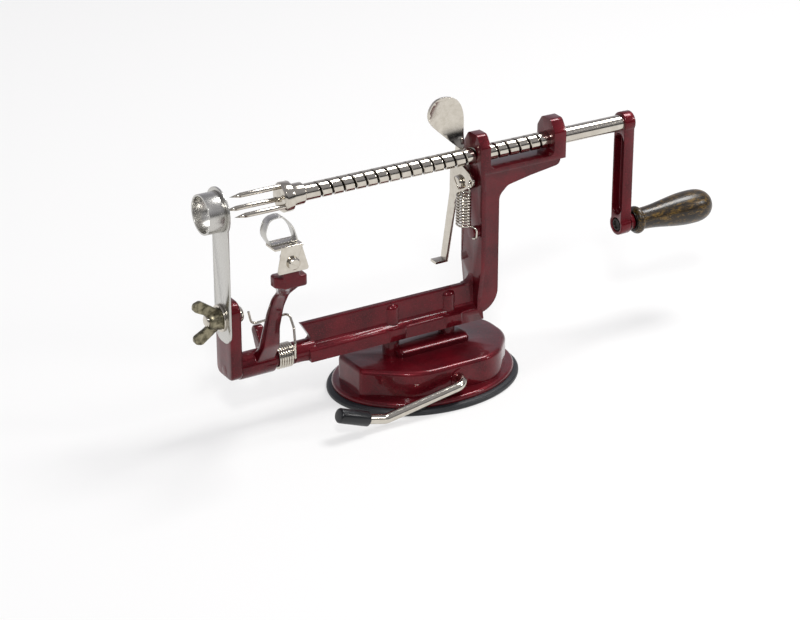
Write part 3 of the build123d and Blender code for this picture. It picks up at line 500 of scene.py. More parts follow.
@dataclass(frozen=True)
class StainedBeech(Finish):
    """Turned beech, stained dark and lacquered: long streaks and short pores under a gloss."""

    dark: str = "#0C0803"
    middle: str = "#2C1F0A"
    light: str = "#76591F"
    pore: str = "#3A3A3A"       # what the wood's colour is multiplied by in a pore
    roughness: float = 0.4
    specular: float = 0.3
    lacquer: float = 0.4
    lacquer_roughness: float = 0.2
    streak_mm: float = 2.0
    streak_depth_mm: float = 0.04
    pore_mm: float = 0.45
    run: Point = (0.34, 1.0, 1.0)       # the grain runs along X, as the grip does

    def patterns(self, tree: bpy.types.NodeTree, place: bpy.types.NodeSocket) -> tuple[Values, Links]:
        """Streaks along the grip, pores, and a lacquer coat.

        Args:
            tree: the material's tree.
            place: where a point lies on the object.

        Returns:
            The shader's plain values, and the sockets that feed its other inputs.
        """
        along = add(tree, "ShaderNodeMapping", values={"Scale": self.run}, links={"Vector": place})
        streak = add(
            tree,
            "ShaderNodeTexNoise",
            values={"Scale": 1 / (self.streak_mm * MM), "Detail": 6.0, "Roughness": 0.7, "Distortion": 0.6},
            links={"Vector": along.outputs["Vector"]},
        )
        wood = add(
            tree,
            "ShaderNodeValToRGB",
            links={"Fac": streak.outputs["Fac"]},
            stops=[(0.32, self.dark), (0.50, self.middle), (0.66, self.light), (0.8, self.middle)],
        )
        pores = add(
            tree,
            "ShaderNodeTexNoise",
            values={"Scale": 1 / (self.pore_mm * MM), "Detail": 2.0},
            links={"Vector": along.outputs["Vector"]},
        )
        depth = add(
            tree,
            "ShaderNodeValToRGB",
            links={"Fac": pores.outputs["Fac"]},
            stops=[(0.36, self.pore), (0.50, "#FFFFFF")],
        )
        colour = add(
            tree,
            "ShaderNodeMix",
            settings={"data_type": "RGBA", "blend_type": "MULTIPLY"},
            values={"Factor": 0.85},
            links={6: wood.outputs["Color"], 7: depth.outputs["Color"]},
        )
        bump = add(
            tree,
            "ShaderNodeBump",
            values={"Strength": 0.15, "Distance": self.streak_depth_mm * MM},
            links={"Height": streak.outputs["Fac"]},
        )
        values = {
            "Roughness": self.roughness,
            "Specular IOR Level": self.specular,
            "Coat Weight": self.lacquer,
            "Coat Roughness": self.lacquer_roughness,
        }
        return values, {"Base Color": colour.outputs[2], "Normal": bump.outputs["Normal"]}


class Slot(Enum):
    """The record's material slots."""

    ENAMEL = "frame_enamel"
    PLATE = "bright_steel"
    GROUND = "ground_steel"
    BRASS = "brass"
    RUBBER = "rubber"
    PLASTIC = "grip_plastic"
    WOOD = "handle_wood"


FINISHES: dict[Slot, Finish] = {
    Slot.ENAMEL: CastEnamel("wine_red_stoving_enamel"),
    Slot.PLATE: PlatedSteel("bright_nickel_plate"),
    Slot.GROUND: GroundSteel("ground_stainless_steel"),
    Slot.BRASS: CastBrass("cast_brass"),
    Slot.RUBBER: MouldedBlack("moulded_black_rubber"),
    Slot.PLASTIC: MouldedBlack("dipped_black_vinyl", tone="#0D0E11", dust="#15161A", roughness=0.3),
    Slot.WOOD: StainedBeech("stained_lacquered_beech"),
}

# pieces of a slot with another finish, each carrying painted shade: the feed screw's groove, and the crank pin with
# its washer
# the feed screw's plate, with painted shade in its groove
GROOVED = GroovedSteel("nickel_plated_feed_screw")
# painted shade: dark steel that stands in for the shade in the hole at the crank pin's end
PAINTED_SHADE_STEEL = PlatedSteel("dark_steel_as_painted_shade", metal="#34322F", worn="#1B1A19", roughness=0.3)


class Palette:
    """The materials, each made once."""

    def __init__(self) -> None:
        """Make every finish."""
        self.made = {slot: finish.make() for slot, finish in FINISHES.items()}
        self.special = {finish: finish.make() for finish in (GROOVED, PAINTED_SHADE_STEEL)}

    def pick(self, slot: Slot, finish: Finish | None = None) -> bpy.types.Material:
        """The slot's material, or that of a special finish."""
        return self.special[finish] if finish else self.made[slot]

    def dress(self, obj: bpy.types.Object, slot: Slot, finish: Finish | None = None) -> None:
        """Give an object one finish all over.

        Args:
            obj: the object.
            slot: its material slot.
            finish: a special finish instead of the slot's own.
        """
        obj.data.materials.clear()
        obj.data.materials.append(self.pick(slot, finish))
        for polygon in obj.data.polygons:
            polygon.material_index = 0


# ------------------------------------------------------------------ mesh making
def metres(lengths_mm: Sequence[float]) -> tuple[float, ...]:
    """A point or a size in metres, from millimetres."""
    return tuple(length * MM for length in lengths_mm)


def link(obj: bpy.types.Object) -> bpy.types.Object:
    """Put an object into the scene."""
    bpy.context.scene.collection.objects.link(obj)
    return obj


def settle(obj: bpy.types.Object, sharp_degrees: float = 40.0) -> bpy.types.Object:
    """Apply an object's modifiers and shade it smooth between its sharp edges.

    Args:
        obj: the object, at the origin.
        sharp_degrees: edges sharper than this keep a hard line.

    Returns:
        The same object with a plain mesh.
    """
    graph = bpy.context.evaluated_depsgraph_get()
    mesh = bpy.data.meshes.new_from_object(obj.evaluated_get(graph))
    obj.modifiers.clear()
    obj.data = mesh
    mesh.shade_smooth()
    mesh.set_sharp_from_angle(angle=math.radians(sharp_degrees))
    return obj


def from_bmesh(name: str, bm: bmesh.types.BMesh) -> bpy.types.Object:
    """Turn an edited mesh into an object in the scene.

    Args:
        name: the piece's name.
        bm: the edited mesh, freed here.

    Returns:
        The object.
    """
    mesh = bpy.data.meshes.new(name)
    bm.to_mesh(mesh)
    bm.free()
    return link(bpy.data.objects.new(name, mesh))


def grade_edges(bm: bmesh.types.BMesh, width: float) -> None:
    """Weigh each sharp edge by the room that its neighbours leave for a rounding.

    Args:
        bm: the mesh.
        width: the full width of the rounding in metres.
    """
    weight = bm.edges.layers.float.new("bevel_weight_edge")
    for edge in bm.edges:
        if not edge.is_manifold or edge.calc_face_angle(0.0) < SHARP_ANGLE:
            continue
        room = 1.0
        for vert in edge.verts:
            along = (edge.other_vert(vert).co - vert.co).normalized()
            for near in vert.link_edges:
                if near is edge:
                    continue
                way = near.other_vert(vert).co - vert.co
                lean = along.dot(way.normalized())
                if lean > STRAIGHT_ON:
                    across = way.length * math.sqrt(max(0.0, 1 - lean * lean))
                    room = min(room, ROOM_SHARE * across / width)
        edge[weight] = room if room > LEAST_ROOM else 0.0


def turned(
    name: str, profile: Profile, origin: Point, axis: Point = (1, 0, 0), steps: int = 64, flatten: float = 1.0
) -> bpy.types.Object:
    """Turn a profile round an axis.

    Args:
        name: the piece's name.
        profile: (distance along the axis, radius) points in metres, from one end to the other.
        origin: where distance zero lies.
        axis: the direction of the axis.
        steps: how many faces go round.
        flatten: the second radius as a share of the first, for an oval.

    Returns:
        The closed piece.
    """
    bm = bmesh.new()
    turn = Vector((0, 0, 1)).rotation_difference(Vector(axis)).to_matrix()
    rings: list[list[bmesh.types.BMVert]] = []
    for along, radius in profile:
        ring = []
        for number in range(1 if radius < WELD else steps):
            angle = 2 * math.pi * number / steps
            local = Vector((radius * math.cos(angle), flatten * radius * math.sin(angle), along))
            ring.append(bm.verts.new(turn @ local + Vector(origin)))
        rings.append(ring)
    for low, high in zip(rings, rings[1:]):
        for number in range(steps):
            after = (number + 1) % steps
            around = [(low, number), (low, after), (high, after), (high, number)]
            face = list(dict.fromkeys(ring[place % len(ring)] for ring, place in around))
            if len(face) > 2:
                bm.faces.new(face)
    for ring in (rings[0], rings[-1]):
        if len(ring) > 1:
            bm.faces.new(ring)
    bmesh.ops.recalc_face_normals(bm, faces=bm.faces)
    return settle(from_bmesh(name, bm), sharp_degrees=30.0)


def arc(
    centre: tuple[float, float], radius: float, start: float, end: float, steps: int
) -> list[tuple[float, float]]:
    """Points on an arc.

    Args:
        centre: the arc's centre.
        radius: its radius.
        start: the first angle in degrees.
        end: the last angle in degrees.
        steps: how many chords.

    Returns:
        The points in order.
    """
    angles = [math.radians(start + (end - start) * n / steps) for n in range(steps + 1)]
    return [(centre[0] + radius * math.cos(a), centre[1] + radius * math.sin(a)) for a in angles]


def carve(obj: bpy.types.Object, cutters: Sequence[bpy.types.Object]) -> bpy.types.Object:
    """Cut shapes out of a piece.

    Args:
        obj: the piece.
        cutters: the shapes, removed afterwards.

    Returns:
        The piece.
    """
    for cutter in cutters:
        boolean = obj.modifiers.new("cut", "BOOLEAN")
        boolean.object = cutter
        boolean.operation = "DIFFERENCE"
        boolean.solver = "EXACT"
    settle(obj, sharp_degrees=30.0)
    for cutter in cutters:
        bpy.data.objects.remove(cutter)
    return obj


def brick(centre: Point, size: Point, degrees: float = 0.0, axis: str = "X") -> bpy.types.Object:
    """A box used as a cutter.

    Args:
        centre: its centre, in metres.
        size: its three lengths, in metres.
        degrees: how far it is turned about its centre.
        axis: the axis of that turn.

    Returns:
        The cutter.
    """
    bm = bmesh.new()
    bmesh.ops.create_cube(bm, size=1.0)
    turn = Matrix.Rotation(math.radians(degrees), 4, axis)
    bmesh.ops.transform(bm, matrix=Matrix.Translation(centre) @ turn @ Matrix.Diagonal((*size, 1.0)), verts=bm.verts)
    return from_bmesh("cutter", bm)


class ShapeTree:
    """A Geometry Nodes tree with named inputs that is run once and turned into a mesh."""

    def __init__(self, name: str) -> None:
        """Start the tree with its way in and its way out.

        Args:
            name: the tree's name.
        """
        self.tree = bpy.data.node_groups.new(name, "GeometryNodeTree")
        self.tree.is_modifier = True
        for way in ("INPUT", "OUTPUT"):
            self.tree.interface.new_socket(name="Geometry", in_out=way, socket_type="NodeSocketGeometry")
        self.way_in = self.tree.nodes.new("NodeGroupInput")
        self.names: dict[str, str] = {}

    def size(self, name: str, kind: str = "NodeSocketFloat") -> bpy.types.NodeSocket:
        """Add a named input.

        Args:
            name: the input's name.
            kind: the type of its socket.

        Returns:
            The socket that gives its value.
        """
        item = self.tree.interface.new_socket(name=name, in_out="INPUT", socket_type=kind)
        self.names[name] = item.identifier
        return self.way_in.outputs[name]

    def add(self, kind: str, **parts: Any) -> bpy.types.Node:
        """Add a node to this tree."""
        return add(self.tree, kind, **parts)

    def close(self, geometry: bpy.types.NodeSocket, material: bpy.types.Material) -> None:
        """End the tree: realise its instances, set the material and put the geometry out.

        Args:
            geometry: the finished shape.
            material: its material.
        """
        real = self.add("GeometryNodeRealizeInstances", links={"Geometry": geometry})
        smooth = self.add("GeometryNodeSetShadeSmooth", links={0: real.outputs["Geometry"]})
        dressed = self.add(
            "GeometryNodeSetMaterial", values={"Material": material}, links={"Geometry": smooth.outputs[0]}
        )
        self.add("NodeGroupOutput", links={"Geometry": dressed.outputs["Geometry"]})

    def run(self, name: str, sizes: dict[str, Any], start: bpy.types.Mesh | None = None) -> bpy.types.Object:
        """Run the tree and keep its result as a plain mesh.

        Args:
            name: the piece's name.
            sizes: the value of each input.
            start: a mesh that goes into the tree.

        Returns:
            The piece.
        """
        obj = link(bpy.data.objects.new(name, start or bpy.data.meshes.new(name)))
        modifier = obj.modifiers.new("shape", "NODES")
        modifier.node_group = self.tree
        for label, value in sizes.items():
            modifier[self.names[label]] = value
        return settle(obj)


def wire_mesh(name: str, runs: Sequence[Sequence[Point]]) -> bpy.types.Mesh:
    """Make a mesh of plain edges through points.

    Args:
        name: the mesh's name.
        runs: the points of each wire, in millimetres.

    Returns:
        The mesh.
    """
    points: list[Point] = []
    edges: list[tuple[int, int]] = []
    for run in runs:
        first = len(points)
        points.extend(metres(point) for point in run)
        edges.extend((first + n, first + n + 1) for n in range(len(run) - 1))
    mesh = bpy.data.meshes.new(name)
    mesh.from_pydata(points, edges, [])
    return mesh


class WireTree(ShapeTree):
    """A spring of round wire: a coil about an axis, and straight runs with rounded bends."""

    def __init__(self, name: str, material: bpy.types.Material, left_handed: bool = False) -> None:
        """Build the tree.

        Args:
            name: the tree's name.
            material: the wire's finish.
            left_handed: which way the coil is wound.
        """
        super().__init__(name)
        radius = self.size("Wire Radius")
        bend = self.size("Bend Radius")
        runs = self.add("GeometryNodeMeshToCurve", links={"Mesh": self.way_in.outputs["Geometry"]})
        rounded = self.add(
            "GeometryNodeFilletCurve",
            settings={"mode": "POLY"},
            values={"Count": 8, "Limit Radius": True},
            links={"Curve": runs.outputs["Curve"], "Radius": bend},
        )
        turns, coil = self.size("Turns"), self.size("Coil Radius")
        spiral = self.add(
            "GeometryNodeCurveSpiral",
            values={"Resolution": 40, "Reverse": left_handed},
            links={"Rotations": turns, "Start Radius": coil, "End Radius": coil, "Height": self.size("Length")},
        )
        placed = self.add(
            "GeometryNodeTransform",
            links={
                "Geometry": spiral.outputs["Curve"],
                "Translation": self.size("Foot", "NodeSocketVector"),
                "Rotation": self.size("Turn", "NodeSocketVector"),
            },
        )
        joined = self.add("GeometryNodeJoinGeometry")
        for socket in (rounded.outputs["Curve"], placed.outputs["Geometry"]):
            self.tree.links.new(socket, joined.inputs["Geometry"])
        section = self.add("GeometryNodeCurvePrimitiveCircle", values={"Resolution": 14}, links={"Radius": radius})
        wire = self.add(
            "GeometryNodeCurveToMesh",
            values={"Fill Caps": True},
            links={"Curve": joined.outputs["Geometry"], "Profile Curve": section.outputs["Curve"]},
        )
        self.close(wire.outputs["Mesh"], material)


class FeedScrewTree(ShapeTree):
    """The feed shaft: a round bar whose radius drops along a right-hand helix."""

    rings: int = 1000
    around: int = 41        # one more than the faces round the bar, because the grid's sides meet
    sizes: tuple[str, ...] = (
        "Length",
        "Radius",
        "Pitch",
        "Groove Width",
        "Groove Depth",
        "Groove Edge",
        "Groove Start",
        "Groove End",
        "Run In",
        "Cap",
        "Left End",
        "Height",
        "Tooth",
    )
    # each step: its name, its operation and its two values, which are numbers, sizes or earlier steps
    place: tuple[Step, ...] = (
        ("half length", "MULTIPLY", "Length", 0.5),
        ("along", "ADD", "grid x", "half length"),
        ("x", "ADD", "along", "Left End"),
        # how far this point is from the middle of the groove, measured along the shaft
        ("past tooth", "SUBTRACT", "x", "Tooth"),
        ("turns", "DIVIDE", "past tooth", "Pitch"),
        ("turned", "DIVIDE", "angle", 2 * math.pi),
        ("phase", "SUBTRACT", "turns", "turned"),
        ("shifted", "ADD", "phase", 0.5),
        ("part turn", "FRACT", "shifted", 0.0),
        ("wrapped", "SUBTRACT", "part turn", 0.5),
        ("share", "ABSOLUTE", "wrapped", 0.0),
        ("distance", "MULTIPLY", "share", "Pitch"),
        ("half width", "MULTIPLY", "Groove Width", 0.5),
        ("inner", "SUBTRACT", "half width", "Groove Edge"),
        ("outer", "ADD", "half width", "Groove Edge"),
        ("deep from", "ADD", "Groove Start", "Run In"),
        ("deep to", "SUBTRACT", "Groove End", "Run In"),
    )
    # each fade rises smoothly: its name, its value, and where it is zero and one
    fades: tuple[tuple[str, str, str, str], ...] = (
        ("groove", "distance", "outer", "inner"),
        ("starts", "x", "Groove Start", "deep from"),
        ("stops", "x", "Groove End", "deep to"),
    )
    form: tuple[Step, ...] = (
        ("begun", "MULTIPLY", "groove", "starts"),
        ("ended", "MULTIPLY", "stops", "Groove Depth"),
        ("depth", "MULTIPLY", "begun", "ended"),
        ("depth share", "DIVIDE", "depth", "Groove Depth"),
        # the two ends close to a point, so that the bar is a closed body
        ("from right", "SUBTRACT", "Length", "along"),
        ("nearest", "MINIMUM", "along", "from right"),
        ("opening", "DIVIDE", "nearest", "Cap"),
        ("open", "MINIMUM", "opening", 1.0),
        ("bar", "SUBTRACT", "Radius", "depth"),
        ("here", "MULTIPLY", "bar", "open"),
        ("cosine", "COSINE", "angle", 0.0),
        ("sine", "SINE", "angle", 0.0),
        ("y", "MULTIPLY", "here", "cosine"),
        ("rise", "MULTIPLY", "here", "sine"),
        ("z", "ADD", "rise", "Height"),
    )

    def __init__(self, name: str, material: bpy.types.Material) -> None:
        """Build the tree.

        Args:
            name: the tree's name.
            material: the shaft's finish.
        """
        super().__init__(name)
        known = {label: self.size(label) for label in self.sizes}
        grid = self.add(
            "GeometryNodeMeshGrid",
            values={"Vertices X": self.rings, "Vertices Y": self.around, "Size Y": 2 * math.pi},
            links={"Size X": known["Length"]},
        )
        spot = self.add("GeometryNodeInputPosition")
        parts = self.add("ShaderNodeSeparateXYZ", links={"Vector": spot.outputs["Position"]})
        known["grid x"], known["angle"] = parts.outputs["X"], parts.outputs["Y"]
        self.work_out(self.place, known)
        for label, value, zero_at, one_at in self.fades:
            fade = self.add(
                "ShaderNodeMapRange",
                settings={"interpolation_type": "SMOOTHSTEP"},
                links={"Value": known[value], "From Min": known[zero_at], "From Max": known[one_at]},
            )
            known[label] = fade.outputs["Result"]
        self.work_out(self.form, known)
        point = self.add("ShaderNodeCombineXYZ", links={"X": known["x"], "Y": known["y"], "Z": known["z"]})
        # the depth is stored before the grid is rolled up, because it is worked out from the flat grid
        noted = self.add(
            "GeometryNodeStoreNamedAttribute",
            settings={"data_type": "FLOAT", "domain": "POINT"},
            values={"Name": GROOVE},
            links={"Geometry": grid.outputs["Mesh"], "Value": known["depth share"]},
        )
        moved = self.add(
            "GeometryNodeSetPosition",
            links={"Geometry": noted.outputs["Geometry"], "Position": point.outputs["Vector"]},
        )
        welded = self.add(
            "GeometryNodeMergeByDistance",
            values={"Distance": WELD},
            links={"Geometry": moved.outputs["Geometry"]},
        )
        self.close(welded.outputs["Geometry"], material)

    def work_out(self, steps: Sequence[Step], known: dict[str, bpy.types.NodeSocket]) -> None:
        """Add the nodes of a table of arithmetic.

        Args:
            steps: the table.
            known: the sizes and the steps so far, which gets the new steps too.
        """
        for label, operation, *given in steps:
            node = self.add(
                "ShaderNodeMath",
                settings={"operation": operation},
                values={n: value for n, value in enumerate(given) if not isinstance(value, str)},
                links={n: known[value] for n, value in enumerate(given) if isinstance(value, str)},
            )
            known[label] = node.outputs["Value"]


# ------------------------------------------------------------------ the object
@dataclass
class Assembly:
    """A group of pieces that belong together."""

    frame: dict[str, Any]
    palette: Palette

    def keep(self, obj: bpy.types.Object, body: str, slot: Slot, node: str, finish: Finish | None = None) -> None:
        """Dress a piece, let it ride on a body and hide the CAD node that it stands in for.

        Args:
            obj: the piece.
            body: the body that it rides on.
            slot: its material slot.
            node: the CAD node that it replaces.
            finish: a special finish instead of the slot's own.
        """
        self.palette.dress(obj, slot, finish)
        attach(obj, body)
        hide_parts(node)
        LOG.info("%s rides on %s", obj.name, body)

    def stretch(
        self, obj: bpy.types.Object, slot: Slot, node: str, bodies: tuple[str, str], ends: tuple[Point, Point]
    ) -> None:
        """Dress a spring, bake its place into its mesh and hide the CAD node that it stands in for.

        Args:
            obj: the spring.
            slot: its material slot.
            node: the CAD node that it replaces.
            bodies: the body at its first end and at its last.
            ends: the points where each body takes hold; not used.
        """
        self.palette.dress(obj, slot)
        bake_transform(obj)
        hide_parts(node)
        LOG.info("%s bends between %s and %s", obj.name, *bodies)

    def soften(
        self,
        node: str,
        body: str,
        slot: Slot,
        width_mm: float,
        segments: int = 2,
        finish: Finish | None = None,
        reshape: Reshape | None = None,
        cutters: Sequence[bpy.types.Object] = (),
        graded: bool = False,
    ) -> None:
        """Stand a welded copy with rounded edges in for a CAD node, its form changed where asked.

        Args:
            node: the CAD node.
            body: the body that it rides on.
            slot: its material slot.
            width_mm: the width of the rounding.
            segments: how many faces the rounding has.
            finish: a special finish instead of the slot's own.
            reshape: says where each point of the copy goes, both in millimetres.
            cutters: shapes to cut out of the copy before its edges are rounded.
            graded: whether each edge is rounded as far as its neighbours allow, instead of all edges alike.
        """
        bm = bmesh.new()
        bm.from_mesh(self.frame["nodes"][node].data)
        bmesh.ops.remove_doubles(bm, verts=bm.verts, dist=WELD)
        if reshape:
            for vert in bm.verts:
                vert.co = reshape(vert.co / MM) * MM
        piece = from_bmesh(f"{node}_skin", bm)
        if cutters:
            carve(piece, cutters)
        bm = bmesh.new()
        bm.from_mesh(piece.data)
        bmesh.ops.dissolve_limit(bm, angle_limit=FLAT_ANGLE, verts=bm.verts, edges=bm.edges, delimit={"SHARP"})
        if graded:
            grade_edges(bm, width_mm * MM)
        bm.to_mesh(piece.data)
        bm.free()
        bevel = piece.modifiers.new("rounding", "BEVEL")
        bevel.width = width_mm * MM
        bevel.segments = segments
        bevel.limit_method = "WEIGHT" if graded else "ANGLE"
        bevel.angle_limit = SHARP_ANGLE
        bevel.use_clamp_overlap = not graded
        bevel.miter_outer = "MITER_ARC"
        self.keep(settle(piece), body, slot, node, finish)

    def paint(self, node: str, slot: Slot) -> None:
        """Give a CAD node that stays a better finish."""
        self.palette.dress(self.frame["nodes"][node], slot)
        LOG.info("%s stays as it is", node)


@dataclass
class Castings(Assembly):
    """The enamelled castings: frame, end plate, base, peeling arm and crank."""

    edge_mm: float = 0.9
    near_mm: float = 0.3        # how far from a stated place a point still belongs to it
    plate_edge_mm: float = 1.3
    plate_corners_mm: tuple[float, float] = (4.2, 6.0)      # at the foot and at the top
    plate_bores_mm: tuple[tuple[float, float], ...] = ((2.65, 33.3), (3.05, 61.5))      # radius and height
    beam_mm: tuple[float, float] = (-69.2, 43.0)      # the beam's ends
    beam_bottom_mm: float = 30.6
    foot_half_mm: float = 7.7       # the foot's half width at its lower edge, where it flares over the pillars
    foot_inner_mm: float = 6.0      # the flare moves only what is further out than this
    foot_lean_mm: float = 0.1
    foot_drop_mm: float = 1.2
    foot_top_mm: float = 36.0
    corner_mm: Point = (30.0, 9.0, 8.0)     # the blocks that cut the foot off under the upright
    corner_x_mm: float = 31.5       # where they begin
    corner_rise_mm: float = 2.0     # how far their middle is above the beam's underside
    rib_mm: float = 3.55        # half the thickness of the web that they leave
    post_x_mm: tuple[float, float] = (-19.2, 13.8)
    post_mm: tuple[float, float] = (6.6, 4.4)       # the posts' radius before and after they are slimmed
    roof_mm: float = 14.0       # above this height the base has only its roof, its saddle and its posts
    saddle_top_mm: float = 24.0
    saddle_rim_mm: tuple[float, float] = (1.0, 0.2)     # how far under its top its side begins, and its top ends
    saddle_half_mm: float = 9.8
    saddle_edge_mm: float = 3.9     # how wide each sloped edge is
    saddle_slope_mm: tuple[float, float, float] = (1.5, 0.6, 0.4)      # how far its slope reaches in, down and out
    crank_edge_mm: float = 0.5
    crank_chamfer_mm: float = 0.9
    recess_depth_mm: float = 4.6
    recess_rim_mm: float = 0.75
    recess_gap_mm: float = 0.6      # how far the recess keeps from the hubs

    def build(self) -> None:
        """Round the castings' edges, as a thick enamel does, and give them their last forms."""
        size = self.corner_mm
        x = self.corner_x_mm + size[0] / 2
        y = self.rib_mm + size[1] / 2
        z = self.beam_bottom_mm + self.corner_rise_mm
        off = [brick(metres((x, side * y, z)), metres(size)) for side in (-1, 1)]
        self.soften("frame_casting", "frame", Slot.ENAMEL, self.edge_mm, segments=3, reshape=self.flare, cutters=off)
        self.build_end_plate()
        self.soften("base_casting", "frame", Slot.ENAMEL, self.edge_mm, segments=3, reshape=self.slim)
        self.soften("peeler_arm", "peeling_arm", Slot.ENAMEL, self.edge_mm, segments=3, graded=True)
        self.build_crank()

    def build_end_plate(self) -> None:
        """The end plate, a slab with round corners, bored for the arbor's spigot and for the blades' bolt."""
        low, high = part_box("end_plate")
        foot, crown = self.plate_corners_mm
        outline = []
        for y, z, r, start in (
            (high.y, low.z, foot, -90),
            (high.y, high.z, crown, 0),
            (low.y, high.z, crown, 90),
            (low.y, low.z, foot, 180),
        ):
            radius = r * MM
            middle = (y - math.copysign(radius, y), z + (radius if z == low.z else -radius))
            outline += arc(middle, radius, start, start + 90, steps=10)
        bm = bmesh.new()
        face = bm.faces.new([bm.verts.new((low.x, y, z)) for y, z in outline])
        grown = bmesh.ops.extrude_face_region(bm, geom=[face])
        far = [part for part in grown["geom"] if isinstance(part, bmesh.types.BMVert)]
        bmesh.ops.translate(bm, vec=(high.x - low.x, 0, 0), verts=far)
        bmesh.ops.recalc_face_normals(bm, faces=bm.faces)
        plate = from_bmesh("end_plate_skin", bm)
        bevel = plate.modifiers.new("rounding", "BEVEL")
        bevel.width = self.plate_edge_mm * MM
        bevel.segments = 4
        bevel.limit_method = "ANGLE"
        bevel.angle_limit = SHARP_ANGLE
        reach = 2 * (high.x - low.x)
        bores = [
            turned("cutter", [(-reach, 0.0), (-reach, r * MM), (reach, r * MM), (reach, 0.0)], (low.x, 0, z * MM))
            for r, z in self.plate_bores_mm
        ]
        self.keep(carve(settle(plate), bores), "frame", Slot.ENAMEL, "end_plate")

    def flare(self, point: Vector) -> Vector:
        """Let the beam's foot flare down over its pillars, so that its lower edge runs straight.

        Args:
            point: a point of the frame.

        Returns:
            Where it goes.
        """
        left, right = self.beam_mm
        if left < point.x < right and abs(point.z - self.beam_bottom_mm) < self.near_mm:
            if abs(point.y) > self.foot_inner_mm:
                point.y = math.copysign(self.foot_half_mm, point.y)
            point.z -= self.foot_drop_mm
        elif left < point.x < right and point.z < self.foot_top_mm and abs(point.y) > self.foot_half_mm:
            point.y = math.copysign(self.foot_half_mm + self.foot_lean_mm, point.y)
        return point

    def slim(self, point: Vector) -> Vector:
        """Slim the base's posts and slope the saddle's long edges.

        Args:
            point: a point of the base.

        Returns:
            Where it goes.
        """
        if point.z < self.roof_mm:
            return point
        before, after = self.post_mm
        for x in self.post_x_mm:
            away = math.hypot(point.x - x, point.y)
            if away < before + self.near_mm:
                point.x = x + (point.x - x) * after / before
                point.y = point.y * after / before
                return point
        side, top = (self.saddle_top_mm - under for under in self.saddle_rim_mm)
        inner = self.saddle_half_mm - self.saddle_edge_mm
        if point.z > side and abs(point.y) > inner:
            across, down, out = self.saddle_slope_mm
            share = (abs(point.y) - inner) / (self.saddle_half_mm - inner)
            if point.z > top:
                point.y -= math.copysign(across * share, point.y)
            else:
                point.z -= down
                point.y += math.copysign(out * share, point.y)
        return point

    def build_crank(self) -> None:
        """The crank, with the deep recess that its casting has between two thin rims."""
        low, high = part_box("crank_arm")
        hub = (high.y - low.y) / 2
        half = hub - self.crank_chamfer_mm * MM - self.recess_rim_mm * MM
        gap = self.recess_gap_mm * MM
        top, bottom = high.z - 2 * hub - gap, low.z + 2 * hub + gap
        depth = self.recess_depth_mm * MM
        ends = [
            turned("cutter", [(-depth, 0.0), (-depth, half), (depth, half), (depth, 0.0)], (low.x, 0, z))
            for z in (top - half, bottom + half)
        ]
        middle = brick((low.x, 0, (top + bottom) / 2), (2 * depth, 2 * half, top - bottom - 2 * half))
        self.soften("crank_arm", "spindle", Slot.ENAMEL, self.crank_edge_mm, cutters=[middle, *ends], graded=True)


@dataclass
class SuctionBase(Assembly):
    """The rubber pad and the bent lever that draws it up."""

    lip_mm: float = 1.3
    # how the pad rises inside its lip: share of its height, and how far in from its edge
    shoulder: tuple[tuple[float, float], ...] = ((0.62, 0.1), (0.86, 0.9), (0.97, 2.2), (1.0, 3.4))

    def build(self) -> None:
        """Build the pad, the lever and its sleeve; the hidden works stay as they are."""
        self.build_pad()
        self.soften("suction_lever", "suction_spindle", Slot.PLATE, width_mm=0.3)
        self.soften("lever_sleeve", "suction_spindle", Slot.PLASTIC, width_mm=0.3)
        for node in ("pad_plate", "suction_stem", "lever_cam", "lever_clip", "frame_screws"):
            self.paint(node, Slot.PLATE)

    def build_pad(self) -> None:
        """An oval pad whose edge rolls up into a soft lip."""
        low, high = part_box("suction_pad")
        middle = (low + high) / 2
        length, width = (high - low).x / 2, (high - low).y / 2
        top = high.z
        lip = self.lip_mm * MM
        profile = [(0.0, 0.0), (0.0, length - lip)]
        profile += [(lip + r, length - lip + a) for a, r in arc((0, 0), lip, -90, 0, steps=6)]
        profile += [(top * rise, length - inset * MM) for rise, inset in self.shoulder]
        profile.append((top, 0.0))
        origin = (middle.x, middle.y, 0)
        pad = turned("suction_pad_skin", profile, origin, axis=(0, 0, 1), steps=128, flatten=width / length)
        self.keep(pad, "frame", Slot.RUBBER, "suction_pad")


